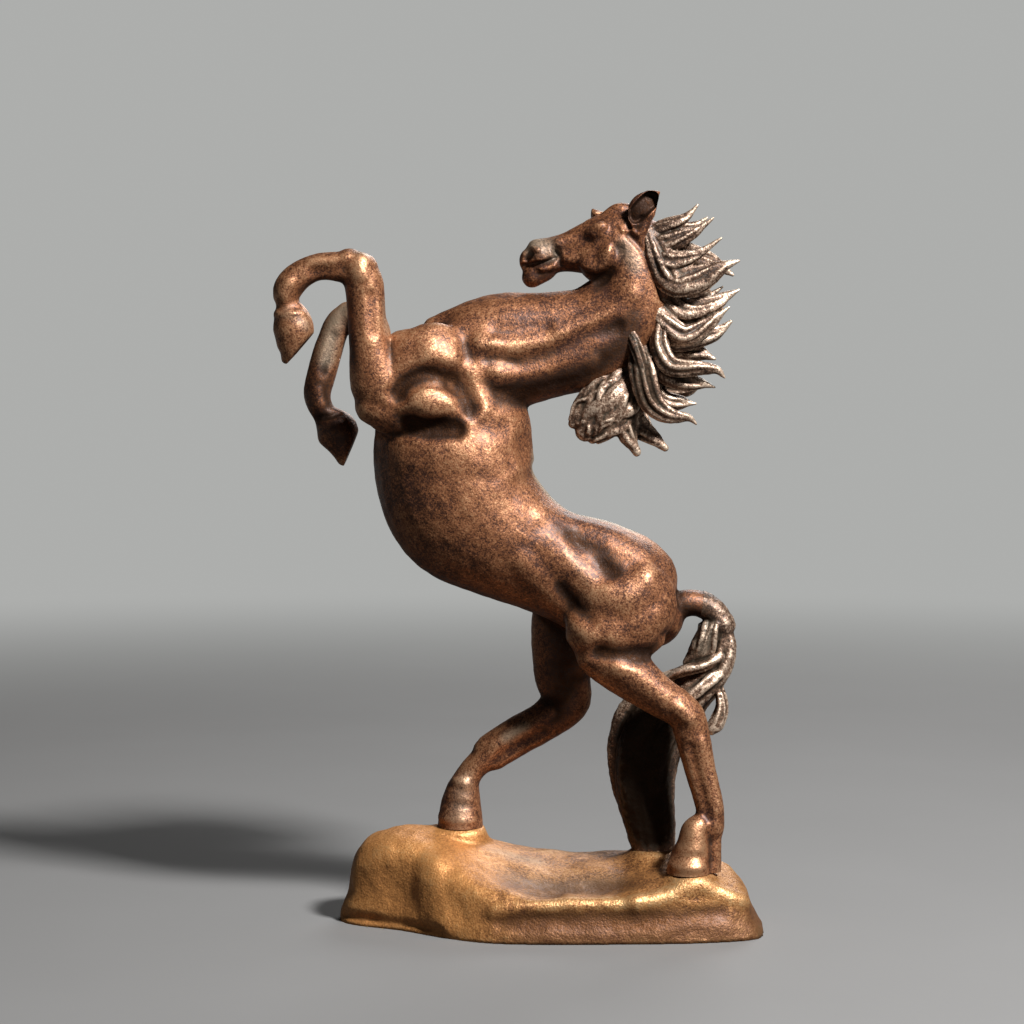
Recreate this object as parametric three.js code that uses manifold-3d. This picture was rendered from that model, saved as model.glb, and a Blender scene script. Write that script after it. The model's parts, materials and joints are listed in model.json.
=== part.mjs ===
// A bronze figurine of a rearing horse on a rock base, made as a foundry makes it: separate castings that
// meet at brazed seams on hidden dowels, and studs with washers and nuts that hold the hooves and tail to
// the hollow base.
// Millimetres, +Z up. +X runs from the forehooves towards the tail, and +Y from the horse's left side to its
// right. "near" names the horse's left side, which faces -Y, and "far" its right side.
import * as THREE from "three";
import { mergeVertices } from "three/addons/utils/BufferGeometryUtils.js";
import Module from "manifold-3d";

const wasm = await Module();
wasm.setup();

// Driving dimensions
const figureHeight = 234.9; // from the foot of the base to the tip of the near ear
const seamGap = 0.3; // a seam between two castings, which braze fills
const fitGap = 0.3; // round a dowel, stud, washer or nut
const dowelRadius = 1.5;
const dowelLength = 9;
const neckDowelSpread = 12.5; // from the neck's middle to each of its two dowels
const manePinRadius = 1;
const manePinLength = 5;
const plugRadius = 2.5;
const plugLength = 14; // before it is dressed flush with the barrel and the core
const baseWall = 5;
const studRadius = 2;
const studInCasting = 7; // how far a stud reaches up into a hoof or the tail
const bossRadius = 6.2;
const bossSeat = 10; // height of the face that a washer bears on
const studBelowNut = 1.2;
const washerRadius = 4.5;
const washerThickness = 0.8;
const nutAcrossFlats = 7;
const nutHeight = 3.2;
const overrun = 1; // how far a cutter runs past the underside of the base
const padRim = 1.2; // a pad stands out this far round the foot that it carries
const padSlope = 2.5; // and this much further where it meets the rock

// Fineness of the surfaces
const sides = { trunk: 20, limb: 12, lock: 7, rod: 12, disc: 24, nut: 6 };
const ringsPerSpan = 2; // between one station and the next
const domeRings = 3;

const up = new THREE.Vector3(0, 0, 1);
const acrossHorse = new THREE.Vector3(0, 1, 0);

// The castings are drawn at drawnHeight in the tables below, and enlarged or reduced to figureHeight. What
// fastens them keeps its own sizes.
const drawnHeight = 234.9;
const enlarged = (values) => values.map((value) => (value * figureHeight) / drawnHeight);

// The shape of the horse: stations [x, y, z, deep, wide] from the body outwards, where deep is half the size
// in the plane of the horse's profile and wide is half the size across it
const shape = {
  barrel: [
    [-34.5, 0, 184, 8.5, 12],
    [-27, 0, 176, 18.5, 17],
    [-21.5, 0, 161, 24.5, 20],
    [-21, 0, 147.5, 25.6, 21.5],
    [-16, 0, 134.5, 25.4, 21.5],
    [-4.7, 0, 124.9, 20.6, 19.5],
    [9, 0, 117.5, 17.3, 16.5],
    [24, 0, 112, 18.6, 17.5],
    [36, 0, 106, 18, 17.5],
    [43, 0, 99, 11.5, 13],
  ],
  shoulder: [
    [-18.5, -10, 186.5, 12, 7],
    [-28.5, -12, 181, 14, 8.5],
    [-37, -13, 172, 10.5, 8],
  ],
  upperArm: [
    [-21.5, -15, 168.5, 5, 4.5],
    [-29, -16, 167, 8.8, 6.5],
    [-37, -15, 168, 6.3, 5.5],
  ],
  haunch: [
    [31, -8, 123, 7, 6],
    [33, -10, 107.5, 17, 10],
    [27, -11.5, 93.5, 14, 9],
  ],
  lowerNeck: [
    [-20, 0, 176.5, 20.5, 16.5],
    [-6, 0, 183.5, 19.2, 14.5],
    [8, 0, 186, 17, 12.5],
    [22.5, 0, 189, 16, 11.5],
    [33.5, 0, 197, 14.5, 11],
  ],
  upperNeck: [
    [24, 0, 190, 13, 10.5],
    [33.5, 0, 197, 14.3, 11],
    [36.5, 0, 208.5, 11.5, 10],
    [35.5, 0, 218.5, 9, 9],
  ],
  skull: [
    [38.5, 0, 218, 9, 8.5],
    [32.5, 0, 218.5, 10.2, 9.3],
    [26.5, 0, 217.5, 10.2, 8.6],
    [20.5, 0, 216.5, 8.2, 6.8],
    [14.5, 0, 215.5, 6.2, 5.6],
    [9.5, 0, 214.5, 5.8, 5.4],
    [5.8, 0, 213.7, 6.2, 5.8],
    [4, 0, 213, 4.5, 4.6],
  ],
  cheek: [
    [29, -5, 214.5, 7.5, 4.5],
    [22.5, -4.5, 211.5, 5.5, 3.5],
  ],
  chin: [
    [8.5, 0, 209.5, 3, 3.8],
    [3.8, 0, 207.6, 3.4, 4.2],
  ],
  brow: [
    [25.6, -7, 222, 2.6, 2.4],
    [22, -6.2, 220.6, 1.6, 1.8],
  ],
  forelock: [
    [36.5, 0, 227.5, 3, 3.4],
    [31, -1, 229, 2.2, 3],
    [26.6, -1.5, 227.6, 0.8, 1.2],
  ],
  nearEar: [
    [36.5, -5.5, 220, 3, 3],
    [38.6, -6.3, 227.5, 3.7, 2.6],
    [41.4, -7, 233.6, 1.6, 1.2],
  ],
  nearEarCup: [
    [37.9, -9, 224.6, 1.6, 1.5],
    [38.8, -9.6, 228.4, 2, 1.8],
    [40.8, -8.8, 232.2, 0.6, 0.7],
  ],
  farEar: [
    [33.5, 5.5, 221, 3, 3],
    [29.3, 6.3, 226.8, 3, 2.6],
    [24.8, 6.6, 229.8, 1.2, 1],
  ],
  nostril: [
    [4.4, -6.2, 215.2, 1.4, 1.3],
    [2.6, -4.9, 214.4, 0.9, 0.9],
  ],
  mouth: [
    [-0.5, 0, 209.7, 0.35, 6],
    [4, 0, 210.2, 0.35, 6],
    [9, 0, 211.4, 0.25, 6],
  ],
  nearForearm: [
    [-38, -13, 171, 9.5, 8],
    [-44, -14, 174, 9.3, 7.5],
    [-47, -15, 185, 6.4, 6.4],
    [-48, -15, 197.5, 6, 6],
    [-49, -15, 206, 6.2, 6],
    [-53, -15, 211, 5.2, 5.6],
  ],
  nearForeCannon: [
    [-49.5, -15, 209.5, 5.4, 5.6],
    [-61.5, -15, 210.5, 4.3, 4.8],
    [-68.5, -15, 207.7, 4.5, 4.8],
    [-72.3, -15, 203.5, 4.6, 5],
    [-73.2, -15, 198.8, 3.7, 4.4],
  ],
  nearForeHoof: [
    [-73, -15, 199.5, 3.2, 4],
    [-71.8, -15, 194.8, 5.7, 5.8],
    [-71.2, -15, 189.5, 4.7, 6],
    [-73, -15, 182.5, 1.7, 3],
  ],
  farForearm: [
    [-39, 13, 171, 9, 8],
    [-45, 14, 176, 8.4, 7],
    [-48, 15, 186, 6, 6],
    [-51, 16, 195.5, 5.4, 5.8],
    [-55.5, 17, 198.5, 4.6, 5.2],
  ],
  farForeCannon: [
    [-54.5, 17, 198, 4.4, 5.2],
    [-58.5, 17, 194, 4.4, 5.2],
    [-61.3, 17, 187.5, 4.6, 5],
    [-64, 17, 178.5, 4.8, 5],
    [-65.8, 17, 170, 4.4, 5],
    [-63.3, 17, 163, 3.6, 4.4],
  ],
  farForeHoof: [
    [-64.3, 17, 165, 3.2, 4.2],
    [-60.3, 17, 159.5, 6, 6],
    [-58.3, 17, 155, 5.1, 6],
    [-57, 17, 149, 1.7, 3],
  ],
  nearGaskin: [
    [33, -11, 100, 15, 9],
    [28.5, -12, 91.5, 12, 8.5],
    [34, -13, 83.5, 8.6, 7.2],
    [42.5, -13, 76.5, 6.5, 6.4],
    [51.5, -13, 70.5, 5.8, 5.8],
    [54.2, -13, 63.5, 5.6, 5.2],
    [56.8, -13, 52, 4.9, 4.8],
    [59.6, -13, 41.5, 4.5, 4.8],
    [60.4, -13, 34, 4.2, 4.8],
  ],
  nearHindPastern: [
    [60.2, -13, 35.5, 4, 4.6],
    [57.5, -14, 32, 4.3, 5.4],
    [54, -15, 27.7, 5.6, 7],
    [53.3, -15, 19, 7, 8.2],
  ],
  farGaskin: [
    [24, 9, 106, 18.5, 9],
    [17.5, 11, 92, 15, 9],
    [13.8, 12, 80.5, 9.6, 7.6],
    [15.2, 12, 71.5, 8, 6.4],
    [8.8, 12, 65, 6.6, 5.4],
    [-1.6, 12, 59, 6.4, 5.4],
    [-9.5, 12, 54, 6.2, 5.8],
  ],
  farHindPastern: [
    [-11, 12, 53, 4.4, 5.4],
    [-16.6, 12, 46.8, 4.2, 5.2],
    [-19, 12, 39, 6.3, 7],
    [-19.4, 12, 29, 7.6, 8.2],
  ],
  tailDock: [
    [46, 0, 101, 4.8, 5],
    [54, 0.5, 104, 4.3, 5],
    [60.6, 1, 102.2, 4.3, 5.2],
    [64.6, 1, 97, 4.5, 5.6],
  ],
  tail: [
    [63, 1, 99.8, 4.3, 5.4],
    [65, 1.5, 90.5, 5.1, 6.2],
    [61.5, 2, 82, 6.4, 7],
    [54, 3.5, 75, 8.6, 7.8],
    [45.5, 6, 67.5, 12, 8.8],
    [41, 7, 57, 12.8, 9.2],
    [40.4, 7, 44, 12, 9.2],
    [42, 6.5, 32.5, 10.3, 8.8],
    [43.6, 6, 22, 8.2, 7.8],
  ],
  tailCurl: [
    [61.5, 0.5, 80.5, 3.4, 3.4],
    [64, -0.5, 74, 2.6, 3],
    [64, -1, 67.5, 2.4, 2.8],
    [61.2, -1, 62, 1.6, 2],
  ],
  core: [
    [30, 0, 108.5, 7, 7],
    [9, 0, 118, 8, 9],
    [-5, 0, 125, 11, 11],
    [-17, 0, 137, 11.5, 11.5],
    [-19.5, 0, 152, 11.5, 11.5],
    [-17.5, 0, 169, 10, 10],
    [-6.5, 0, 181, 8.5, 8],
    [8, 0, 186.5, 7.5, 7.5],
    [16, 0, 187, 6.5, 6.5],
  ],
};

// The mane's locks, from root to tip, one list for each of its castings
const mane = {
  mane_upper: [
    [
      [40.7, -5, 221, 1.9, 2.2],
      [47, -6, 223.5, 2.2, 2.2],
      [52, -6, 226, 1.6, 1.8],
      [55.9, -6, 230.2, 0.5, 0.6],
    ],
    [
      [41.3, -6, 218, 2.4, 2.4],
      [48, -7, 219, 2.4, 2.4],
      [54.5, -7, 221.5, 1.9, 1.8],
      [60.8, -7, 226, 0.5, 0.6],
    ],
    [
      [42.8, -7, 214, 2.4, 2.6],
      [48, -8, 212.5, 2.7, 2.6],
      [55.5, -8, 214.6, 1.9, 2],
      [63.2, -8, 219.6, 0.5, 0.6],
    ],
    [
      [43, -6, 209, 2.8, 3],
      [49, -8, 205.5, 3.8, 2.8],
      [57, -8, 207, 3.8, 2.6],
      [64, -8, 210.8, 2.2, 2],
      [69, -7, 212.6, 0.5, 0.6],
    ],
    [
      [40, 1, 218, 5, 6],
      [47, 1, 215.5, 4.6, 6],
      [57, 3, 213.5, 3.4, 4],
      [63.5, 4, 211, 2.4, 2.6],
      [67.8, 4, 208.6, 0.8, 0.9],
    ],
    [
      [40.5, 5, 221, 2.6, 2.6],
      [48, 7, 223, 2.6, 2.4],
      [55, 8, 224, 1.8, 2],
      [60, 8, 227, 0.5, 0.6],
    ],
    [
      [41, 0, 209, 5, 7],
      [48, 0, 207.5, 4.2, 7],
      [55, 3, 207.5, 3.4, 4],
      [60, 7, 204, 1.8, 2],
    ],
  ],
  mane_middle: [
    [
      [42.5, -3, 202.5, 3.4, 3.4],
      [51, -4, 196, 3.8, 3],
      [59, -4, 197.6, 3.2, 2.6],
      [65.3, -3, 201.5, 1.9, 2],
      [69.2, -3, 203.6, 0.5, 0.6],
    ],
    [
      [42.5, -6, 197, 2.6, 2.8],
      [50.5, -7, 189.6, 2.7, 2.6],
      [57, -6, 191.2, 2.5, 2.2],
      [62, -5, 195, 1.9, 2],
      [65.9, -5, 198, 0.5, 0.6],
    ],
    [
      [42, 0, 194, 5, 7],
      [50, 0, 189, 4, 6],
      [61.5, 1, 190, 2.8, 2.8],
      [67, 1, 193.6, 0.9, 1],
    ],
    [
      [42, 5, 200, 3.2, 3.2],
      [50, 7, 197, 3, 2.6],
      [58, 8, 200, 2.2, 2.2],
      [65, 8, 205, 0.5, 0.6],
    ],
  ],
  mane_lower: [
    [
      [38, 0, 187, 6, 7],
      [41.5, 0, 178.5, 6.5, 7.5],
      [40, 0, 170.5, 5, 6.5],
    ],
    [
      [45, -6, 192, 1.9, 2.4],
      [44, -7.5, 186.5, 2.4, 2.6],
      [47.4, -8.5, 179.7, 2.8, 2.4],
      [55.3, -9, 179, 2.5, 2.4],
      [61.6, -8, 178.4, 1.9, 2],
      [64.4, -8, 175.8, 0.5, 0.6],
    ],
    [
      [42, -4, 179, 3.4, 3],
      [52.5, -5, 174.8, 2.5, 2.6],
      [57, -5, 174, 1.9, 2],
      [61.5, -5, 172.8, 0.5, 0.6],
    ],
    [
      [42, 3, 185, 3.4, 3.2],
      [51.5, 3, 184.5, 2.8, 2.8],
      [57.5, 3, 183.6, 2.6, 2.4],
      [62, 2, 181.8, 0.7, 0.8],
    ],
    [
      [37, -8, 186, 2.8, 2.6],
      [38.8, -9, 177, 3.2, 2.6],
      [41, -9, 169, 3.2, 2.8],
      [46.8, -8.5, 164.2, 2.5, 2.4],
      [53, -7, 163.3, 1.6, 2],
      [55.6, -7, 161.2, 0.5, 0.6],
    ],
    [
      [40, 0, 172, 4.4, 5],
      [45.5, -2, 168.6, 2.8, 3],
      [51, -2, 168, 2.2, 2.2],
      [55.7, -2, 167.6, 0.5, 0.6],
    ],
    [
      [38.5, 5, 180, 4, 4],
      [46, 7, 174, 3, 2.8],
      [54, 7, 172, 2, 2.2],
      [59, 7, 174.5, 0.5, 0.6],
    ],
  ],
  mane_tuft: [
    [
      [34.5, -1, 178, 4, 6],
      [31, -2, 173, 5, 6],
      [25.5, -4, 167.5, 6.2, 4.6],
      [20, -5, 164.2, 5.4, 3.6],
      [16.8, -5, 161.3, 2.4, 2.2],
    ],
    [
      [32, -4, 168, 5.2, 4.4],
      [26.3, -5.5, 161, 5, 3.8],
      [23, -5, 156.3, 2, 2],
    ],
    [
      [33, -3, 168, 4.2, 3.8],
      [34, -4, 158, 2.9, 3],
      [37, -4, 151.6, 0.9, 1],
    ],
    [
      [33, 3, 172, 5, 4.6],
      [30, 4, 163, 4.8, 4],
      [25, 4, 156.4, 2.3, 2.5],
    ],
    [
      [34, -1, 164, 4, 3.8],
      [39, -2, 159.5, 2.9, 2.8],
      [43, -3, 156, 2, 2],
      [47, -3, 152.6, 0.7, 0.8],
    ],
  ],
};

// What stands on the rock: the middle of the sole, its radius and its height above the rock
const soles = {
  near_hoof: [53.3, -15, 7.2, 0.8],
  far_hoof: [-19.4, 12, 7.6, 2.5],
  tail: [43.4, 6, 8.2, 1.1],
};

// The foot of the base, seen from above, with a point inside it that its rings shrink to, and the rises and
// falls [x, y, height, reach along X, reach along Y] of its top over a slope that climbs away from the front
const planMiddle = [10, 0];
const plan = [
  [77.4, -4],
  [75, -20],
  [60, -26],
  [30, -28.4],
  [0, -28.4],
  [-12.6, -25.8],
  [-25.5, -18],
  [-38.5, -8],
  [-56, 2],
  [-58.5, 12],
  [-52, 25],
  [-20, 28],
  [20, 28],
  [60, 27.5],
  [74, 17],
];
const levelAtMiddle = 17;
const slopeAcross = 0.11;
const mounds = [
  [-34, 8, 12.6, 30, 26],
  [53, -14, 4.2, 17, 13],
  [43, 6, 5, 15, 13],
  [80, -8, -2.5, 10, 30],
  [10, -10, -1.5, 16, 12],
];

// A point of each seam, and the seam's direction from the body out into the limb
const seamTable = {
  neck: { place: [8, 0, 186.5], way: [1, 0, 0.14] },
  head: { place: [34.5, 0, 213.5], way: [-0.62, 0, 0.78] },
  near_foreleg: { place: [-47, -15, 186.5], way: [-0.1, 0, 1] },
  far_foreleg: { place: [-47.6, 14.9, 185], way: [-0.25, 0, 0.97] },
  near_hind: { place: [38, -13, 80.2], way: [0.77, 0, -0.64] },
  far_hind: { place: [14.8, 12, 77], way: [0, 0, -1] },
  tail: { place: [58, 0.8, 103.2], way: [1, 0, -0.15] },
  tail_fall: { place: [51, 4.6, 72.2], way: [-0.7, 0, -0.71] },
};

// Where each mane casting is pinned, and the way out of the horse
const manePinTable = {
  mane_upper: { place: [47.5, 0, 208], way: [1, 0, -0.15] },
  mane_middle: { place: [46.5, -1, 193], way: [0.83, 0, -0.55] },
  mane_lower: { place: [41.6, 0, 185.2], way: [0.5, 0, -0.87] },
  mane_tuft: { place: [33.2, -1, 177.6], way: [-0.2, 0, -0.98] },
};

// The plug in the barrel's far side
const plugPlace = [-9, 20, 131];

// Places in the real figure

const pointAt = (place) => new THREE.Vector3(...enlarged(place));

function seatsOf(table) {
  const seat = ({ place, way }) => ({
    point: pointAt(place),
    direction: new THREE.Vector3(...way).normalize(),
  });
  return Object.fromEntries(Object.entries(table).map(([name, row]) => [name, seat(row)]));
}

const seams = seatsOf(seamTable);
const manePins = seatsOf(manePinTable);

// Solids

// A closed three.js geometry as a solid.
function solidOf(geometry) {
  const bare = geometry.clone();
  bare.deleteAttribute("normal");
  bare.deleteAttribute("uv");
  const merged = mergeVertices(bare, 1e-4);
  const corners = merged.index.array;
  const kept = [];
  for (let i = 0; i < corners.length; i += 3) {
    const [a, b, c] = corners.slice(i, i + 3);
    if (a !== b && b !== c && c !== a) kept.push(a, b, c);
  }
  const vertProperties = merged.attributes.position.array;
  const triVerts = new Uint32Array(kept);
  return new wasm.Manifold(new wasm.Mesh({ numProp: 3, vertProperties, triVerts }));
}

const fuse = (...solids) => solids.flat().reduce((sum, next) => sum.add(next));
const carve = (solid, ...cutters) => cutters.flat().reduce((left, next) => left.subtract(next), solid);

// The largest of the bodies that a cut leaves, without the crumbs.
function mainBody(solid) {
  return solid.decompose().reduce((most, next) => (next.volume() > most.volume() ? next : most));
}

// A body swept through stations, with a dome on each end. A positive grow makes it fatter all round.
function sweep(stations, around, grow = 0) {
  const rows = stations.map(enlarged);
  const spine = new THREE.CatmullRomCurve3(rows.map(([x, y, z]) => new THREE.Vector3(x, y, z)));
  const girth = new THREE.CatmullRomCurve3(
    rows.map(([, , , deep, wide]) => new THREE.Vector3(deep, wide, 0)),
    false,
    "catmullrom",
  );
  const steps = ringsPerSpan * (stations.length - 1);
  const capsule = new THREE.CapsuleGeometry(1, steps, domeRings, around, steps);
  const position = capsule.getAttribute("position");
  const [vertex, centre, tangent, half] = [0, 0, 0, 0].map(() => new THREE.Vector3());
  const [wideAxis, deepAxis] = [new THREE.Vector3(), new THREE.Vector3()];
  for (let i = 0; i < position.count; i++) {
    vertex.fromBufferAttribute(position, i);
    const along = THREE.MathUtils.clamp(vertex.y, -steps / 2, steps / 2);
    const t = along / steps + 0.5;
    spine.getPoint(t, centre);
    spine.getTangent(t, tangent);
    girth.getPoint(t, half);
    half.x += grow;
    half.y += grow;
    wideAxis.copy(acrossHorse).addScaledVector(tangent, -tangent.y).normalize();
    deepAxis.crossVectors(tangent, wideAxis);
    centre
      .addScaledVector(deepAxis, vertex.x * half.x)
      .addScaledVector(wideAxis, vertex.z * half.y)
      .addScaledVector(tangent, (vertex.y - along) * Math.min(half.x, half.y));
    position.setXYZ(i, centre.x, centre.y, centre.z);
  }
  return solidOf(capsule);
}

// A round rod centred on a point and lying along a direction, or a frustum if its far end has its own radius.
function rod(point, direction, radius, length, endRadius = radius, around = sides.rod) {
  const geometry = new THREE.CylinderGeometry(endRadius, radius, length, around);
  const turn = new THREE.Quaternion().setFromUnitVectors(acrossHorse, direction);
  geometry.applyQuaternion(turn).translate(point.x, point.y, point.z);
  return solidOf(geometry);
}

// An upright rod between two heights.
function post({ x, y }, bottom, top, radius, topRadius = radius, around = sides.rod) {
  const middle = new THREE.Vector3(x, y, (bottom + top) / 2);
  return rod(middle, up, radius, top - bottom, topRadius, around);
}

function beyond(solid, { point, direction }) {
  return solid.trimByPlane(direction.toArray(), direction.dot(point) + seamGap / 2);
}

function before(solid, { point, direction }) {
  return solid.trimByPlane(direction.clone().negate().toArray(), seamGap / 2 - direction.dot(point));
}

const mirrored = (stations) => stations.map(([x, y, z, deep, wide]) => [x, -y, z, deep, wide]);
const limb = (stations, grow) => sweep(stations, sides.limb, grow);
const trunk = (stations, grow) => sweep(stations, sides.trunk, grow);
const pair = (stations, grow) => [limb(stations, grow), limb(mirrored(stations), grow)];
const hair = (locks, grow) => fuse(locks.map((stations) => sweep(stations, sides.lock, grow)));

// The rock base

function rockHeight(x, y) {
  const [level] = enlarged([levelAtMiddle]);
  return mounds.map(enlarged).reduce(
    (sum, [mx, my, height, reachX, reachY]) =>
      sum + height * Math.exp(-(((x - mx) / reachX) ** 2) - ((y - my) / reachY) ** 2),
    level + slopeAcross * y,
  );
}

// Where a foot stands: the middle of its sole, and its radius.
function footOf(row) {
  const [x, y, radius, rise] = enlarged(row);
  return { point: new THREE.Vector3(x, y, rockHeight(x, y) + rise), radius };
}

const feet = Object.fromEntries(Object.entries(soles).map(([name, row]) => [name, footOf(row)]));

// A rock shape turned on a lathe and stretched to the plan: profile points are [share of the way out, share
// of the way up]. It can lie inside the rock by a wall, and start from a floor below zero.
function rock(profile, wall, floor) {
  const edge = new THREE.CatmullRomCurve3(plan.map(([x, y]) => pointAt([x, y, 0])), true);
  const middle = pointAt([...planMiddle, 0]);
  const around = 3 * plan.length;
  const section = profile.map(([out, high]) => new THREE.Vector2(out, high));
  const geometry = new THREE.LatheGeometry(section, around);
  const position = geometry.getAttribute("position");
  const [vertex, rim, inward] = [0, 0, 0].map(() => new THREE.Vector3());
  for (let i = 0; i < position.count; i++) {
    vertex.fromBufferAttribute(position, i);
    const out = Math.hypot(vertex.x, vertex.z);
    const turn = Math.atan2(vertex.x, vertex.z) / (2 * Math.PI);
    const t = turn < -1e-6 ? turn + 1 : Math.abs(turn);
    edge.getPoint(t % 1, rim);
    edge.getTangent(t % 1, inward).cross(up).multiplyScalar(wall);
    rim.add(inward).sub(middle).multiplyScalar(out).add(middle);
    const z = vertex.y > 0 ? vertex.y * (rockHeight(rim.x, rim.y) - wall) : floor;
    position.setXYZ(i, rim.x, rim.y, z);
  }
  return solidOf(geometry);
}

// Shares of the way out and up, from the middle of the top down to the middle of the floor
const rockProfile = [
  [0, 1],
  [0.3, 1],
  [0.55, 1],
  [0.75, 1],
  [0.88, 0.97],
  [0.93, 0.8],
  [0.955, 0.4],
  [1, 0.12],
  [1, 0],
  [0, 0],
];
const hollowProfile = [
  [0, 1],
  [0.45, 1],
  [0.8, 1],
  [0.93, 0.8],
  [0.97, 0.3],
  [0.97, 0],
  [0, 0],
];

// A foot's stud and what it needs: where the nut bears, its own length, and its hole in the casting that it
// enters
const nutTop = bossSeat - 3 * fitGap - washerThickness + fitGap;
const studBottom = nutTop - nutHeight - studBelowNut;
const studHole = (foot) =>
  post(foot.point, studBottom, foot.point.z + studInCasting + fitGap, studRadius + fitGap);
const pad = ({ point, radius }) =>
  post(point, bossSeat, point.z - seamGap, radius + padRim + padSlope, radius + padRim, sides.disc);
const boss = ({ point }) => post(point, bossSeat, point.z, bossRadius);
const spotFace = ({ point }) =>
  post(point, -overrun, bossSeat, washerRadius + fitGap, washerRadius + fitGap, sides.disc);

const stands = Object.values(feet);
const baseHollow = carve(rock(hollowProfile, baseWall, -overrun), stands.map(boss));
const base = carve(
  fuse(rock(rockProfile, 0, 0), stands.map(pad)),
  baseHollow,
  stands.map(spotFace),
  stands.map(studHole),
);

// The horse's castings before their dowel holes

const standing = (solid, foot) => carve(solid.trimByPlane([0, 0, 1], foot.point.z), studHole(foot));
const nearUpper = { fore: limb(shape.nearForearm), hind: limb(shape.nearGaskin) };
const farUpper = { fore: limb(shape.farForearm), hind: limb(shape.farGaskin) };
const lowerNeck = trunk(shape.lowerNeck);
const upperNeck = trunk(shape.upperNeck);
const dock = limb(shape.tailDock);
const tail = limb(shape.tail);
const core = limb(shape.core);
const barrel = trunk(shape.barrel);

const plugRod = (grow) => rod(pointAt(plugPlace), acrossHorse, plugRadius + grow, plugLength);

const torso = carve(
  fuse(
    barrel,
    pair(shape.shoulder),
    pair(shape.upperArm),
    pair(shape.haunch),
    before(lowerNeck, seams.neck),
    before(nearUpper.fore, seams.near_foreleg),
    before(farUpper.fore, seams.far_foreleg),
    before(nearUpper.hind, seams.near_hind),
    before(farUpper.hind, seams.far_hind),
    before(dock, seams.tail),
  ),
  core,
  plugRod(fitGap),
);

const neck = carve(fuse(beyond(lowerNeck, seams.neck), before(upperNeck, seams.head)), core);

const head = carve(
  fuse(
    carve(beyond(upperNeck, seams.head), trunk(shape.lowerNeck, seamGap)),
    carve(
      beyond(
        fuse(
          trunk(shape.skull),
          pair(shape.cheek),
          pair(shape.brow),
          limb(shape.chin),
          limb(shape.forelock),
          limb(shape.nearEar),
          limb(shape.farEar),
        ),
        seams.head,
      ),
      trunk(shape.lowerNeck, seamGap),
    ),
  ),
  limb(shape.nearEarCup),
  pair(shape.nostril),
  limb(shape.mouth),
);

const nearForeleg = fuse(
  beyond(nearUpper.fore, seams.near_foreleg),
  limb(shape.nearForeCannon),
  limb(shape.nearForeHoof),
);
const farForeleg = fuse(
  beyond(farUpper.fore, seams.far_foreleg),
  limb(shape.farForeCannon),
  limb(shape.farForeHoof),
);
const nearHindLeg = standing(
  fuse(beyond(nearUpper.hind, seams.near_hind), limb(shape.nearHindPastern)),
  feet.near_hoof,
);
const farHindLeg = standing(
  fuse(beyond(farUpper.hind, seams.far_hind), limb(shape.farHindPastern)),
  feet.far_hoof,
);
const curl = limb(shape.tailCurl);
const tailArch = fuse(beyond(dock, seams.tail), before(tail, seams.tail_fall), curl);
const tailFall = standing(
  carve(beyond(tail, seams.tail_fall), limb(shape.tailCurl, seamGap)),
  feet.tail,
);

// The mane's castings sit a seam away from the neck, the head and each other
const horseSkin = [
  trunk(shape.lowerNeck, seamGap),
  trunk(shape.upperNeck, seamGap),
  trunk(shape.skull, seamGap),
  limb(shape.nearEar, seamGap),
];
const maneNames = Object.keys(mane);
const maneSolids = Object.fromEntries(
  maneNames.map((name, i) => {
    const earlier = maneNames.slice(0, i).map((other) => hair(mane[other], seamGap));
    return [name, mainBody(carve(hair(mane[name], 0), horseSkin, earlier))];
  }),
);

// Dowels: each lies along a seam's direction, half in the casting on either side
const dowels = {
  neck_dowel_upper: { ...seams.neck, offset: neckDowelSpread },
  neck_dowel_lower: { ...seams.neck, offset: -neckDowelSpread },
  head_dowel: seams.head,
  near_foreleg_dowel: seams.near_foreleg,
  far_foreleg_dowel: seams.far_foreleg,
  near_hind_dowel: seams.near_hind,
  far_hind_dowel: seams.far_hind,
  tail_dowel: seams.tail,
  tail_fall_dowel: seams.tail_fall,
};

function dowel({ point, direction, offset = 0 }, grow) {
  const sideways = new THREE.Vector3().crossVectors(direction, acrossHorse).multiplyScalar(offset);
  return rod(point.clone().sub(sideways), direction, dowelRadius + grow, dowelLength + 2 * grow);
}

const manePin = ({ point, direction }, grow) =>
  rod(point, direction, manePinRadius + grow, manePinLength + 2 * grow);

const dowelHoles = Object.values(dowels).map((seat) => dowel(seat, fitGap));
const pinHoles = Object.values(manePins).map((seat) => manePin(seat, fitGap));
const drilled = (solid) => carve(solid, dowelHoles, pinHoles);

// Finishes
function bronze(colour, roughness, metalness = 0.9) {
  return new THREE.MeshStandardMaterial({ color: colour, roughness, metalness });
}

const finishes = {
  horse: bronze(0x5a3c28, 0.42),
  mane: bronze(0x4a3527, 0.5),
  rock: bronze(0x6b4a2c, 0.55),
  rod: bronze(0x9a7b45, 0.4),
  steel: new THREE.MeshStandardMaterial({ color: 0x8f9296, roughness: 0.35, metalness: 1 }),
};

const object = new THREE.Group();
object.name = "rearing_horse_figurine";

function place(name, solid, material) {
  const mesh = solid.getMesh();
  const geometry = new THREE.BufferGeometry();
  geometry.setAttribute("position", new THREE.BufferAttribute(mesh.vertProperties, 3));
  geometry.setIndex(new THREE.BufferAttribute(mesh.triVerts, 1));
  geometry.computeVertexNormals();
  const part = new THREE.Mesh(geometry, material);
  part.name = name;
  object.add(part);
}

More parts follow.
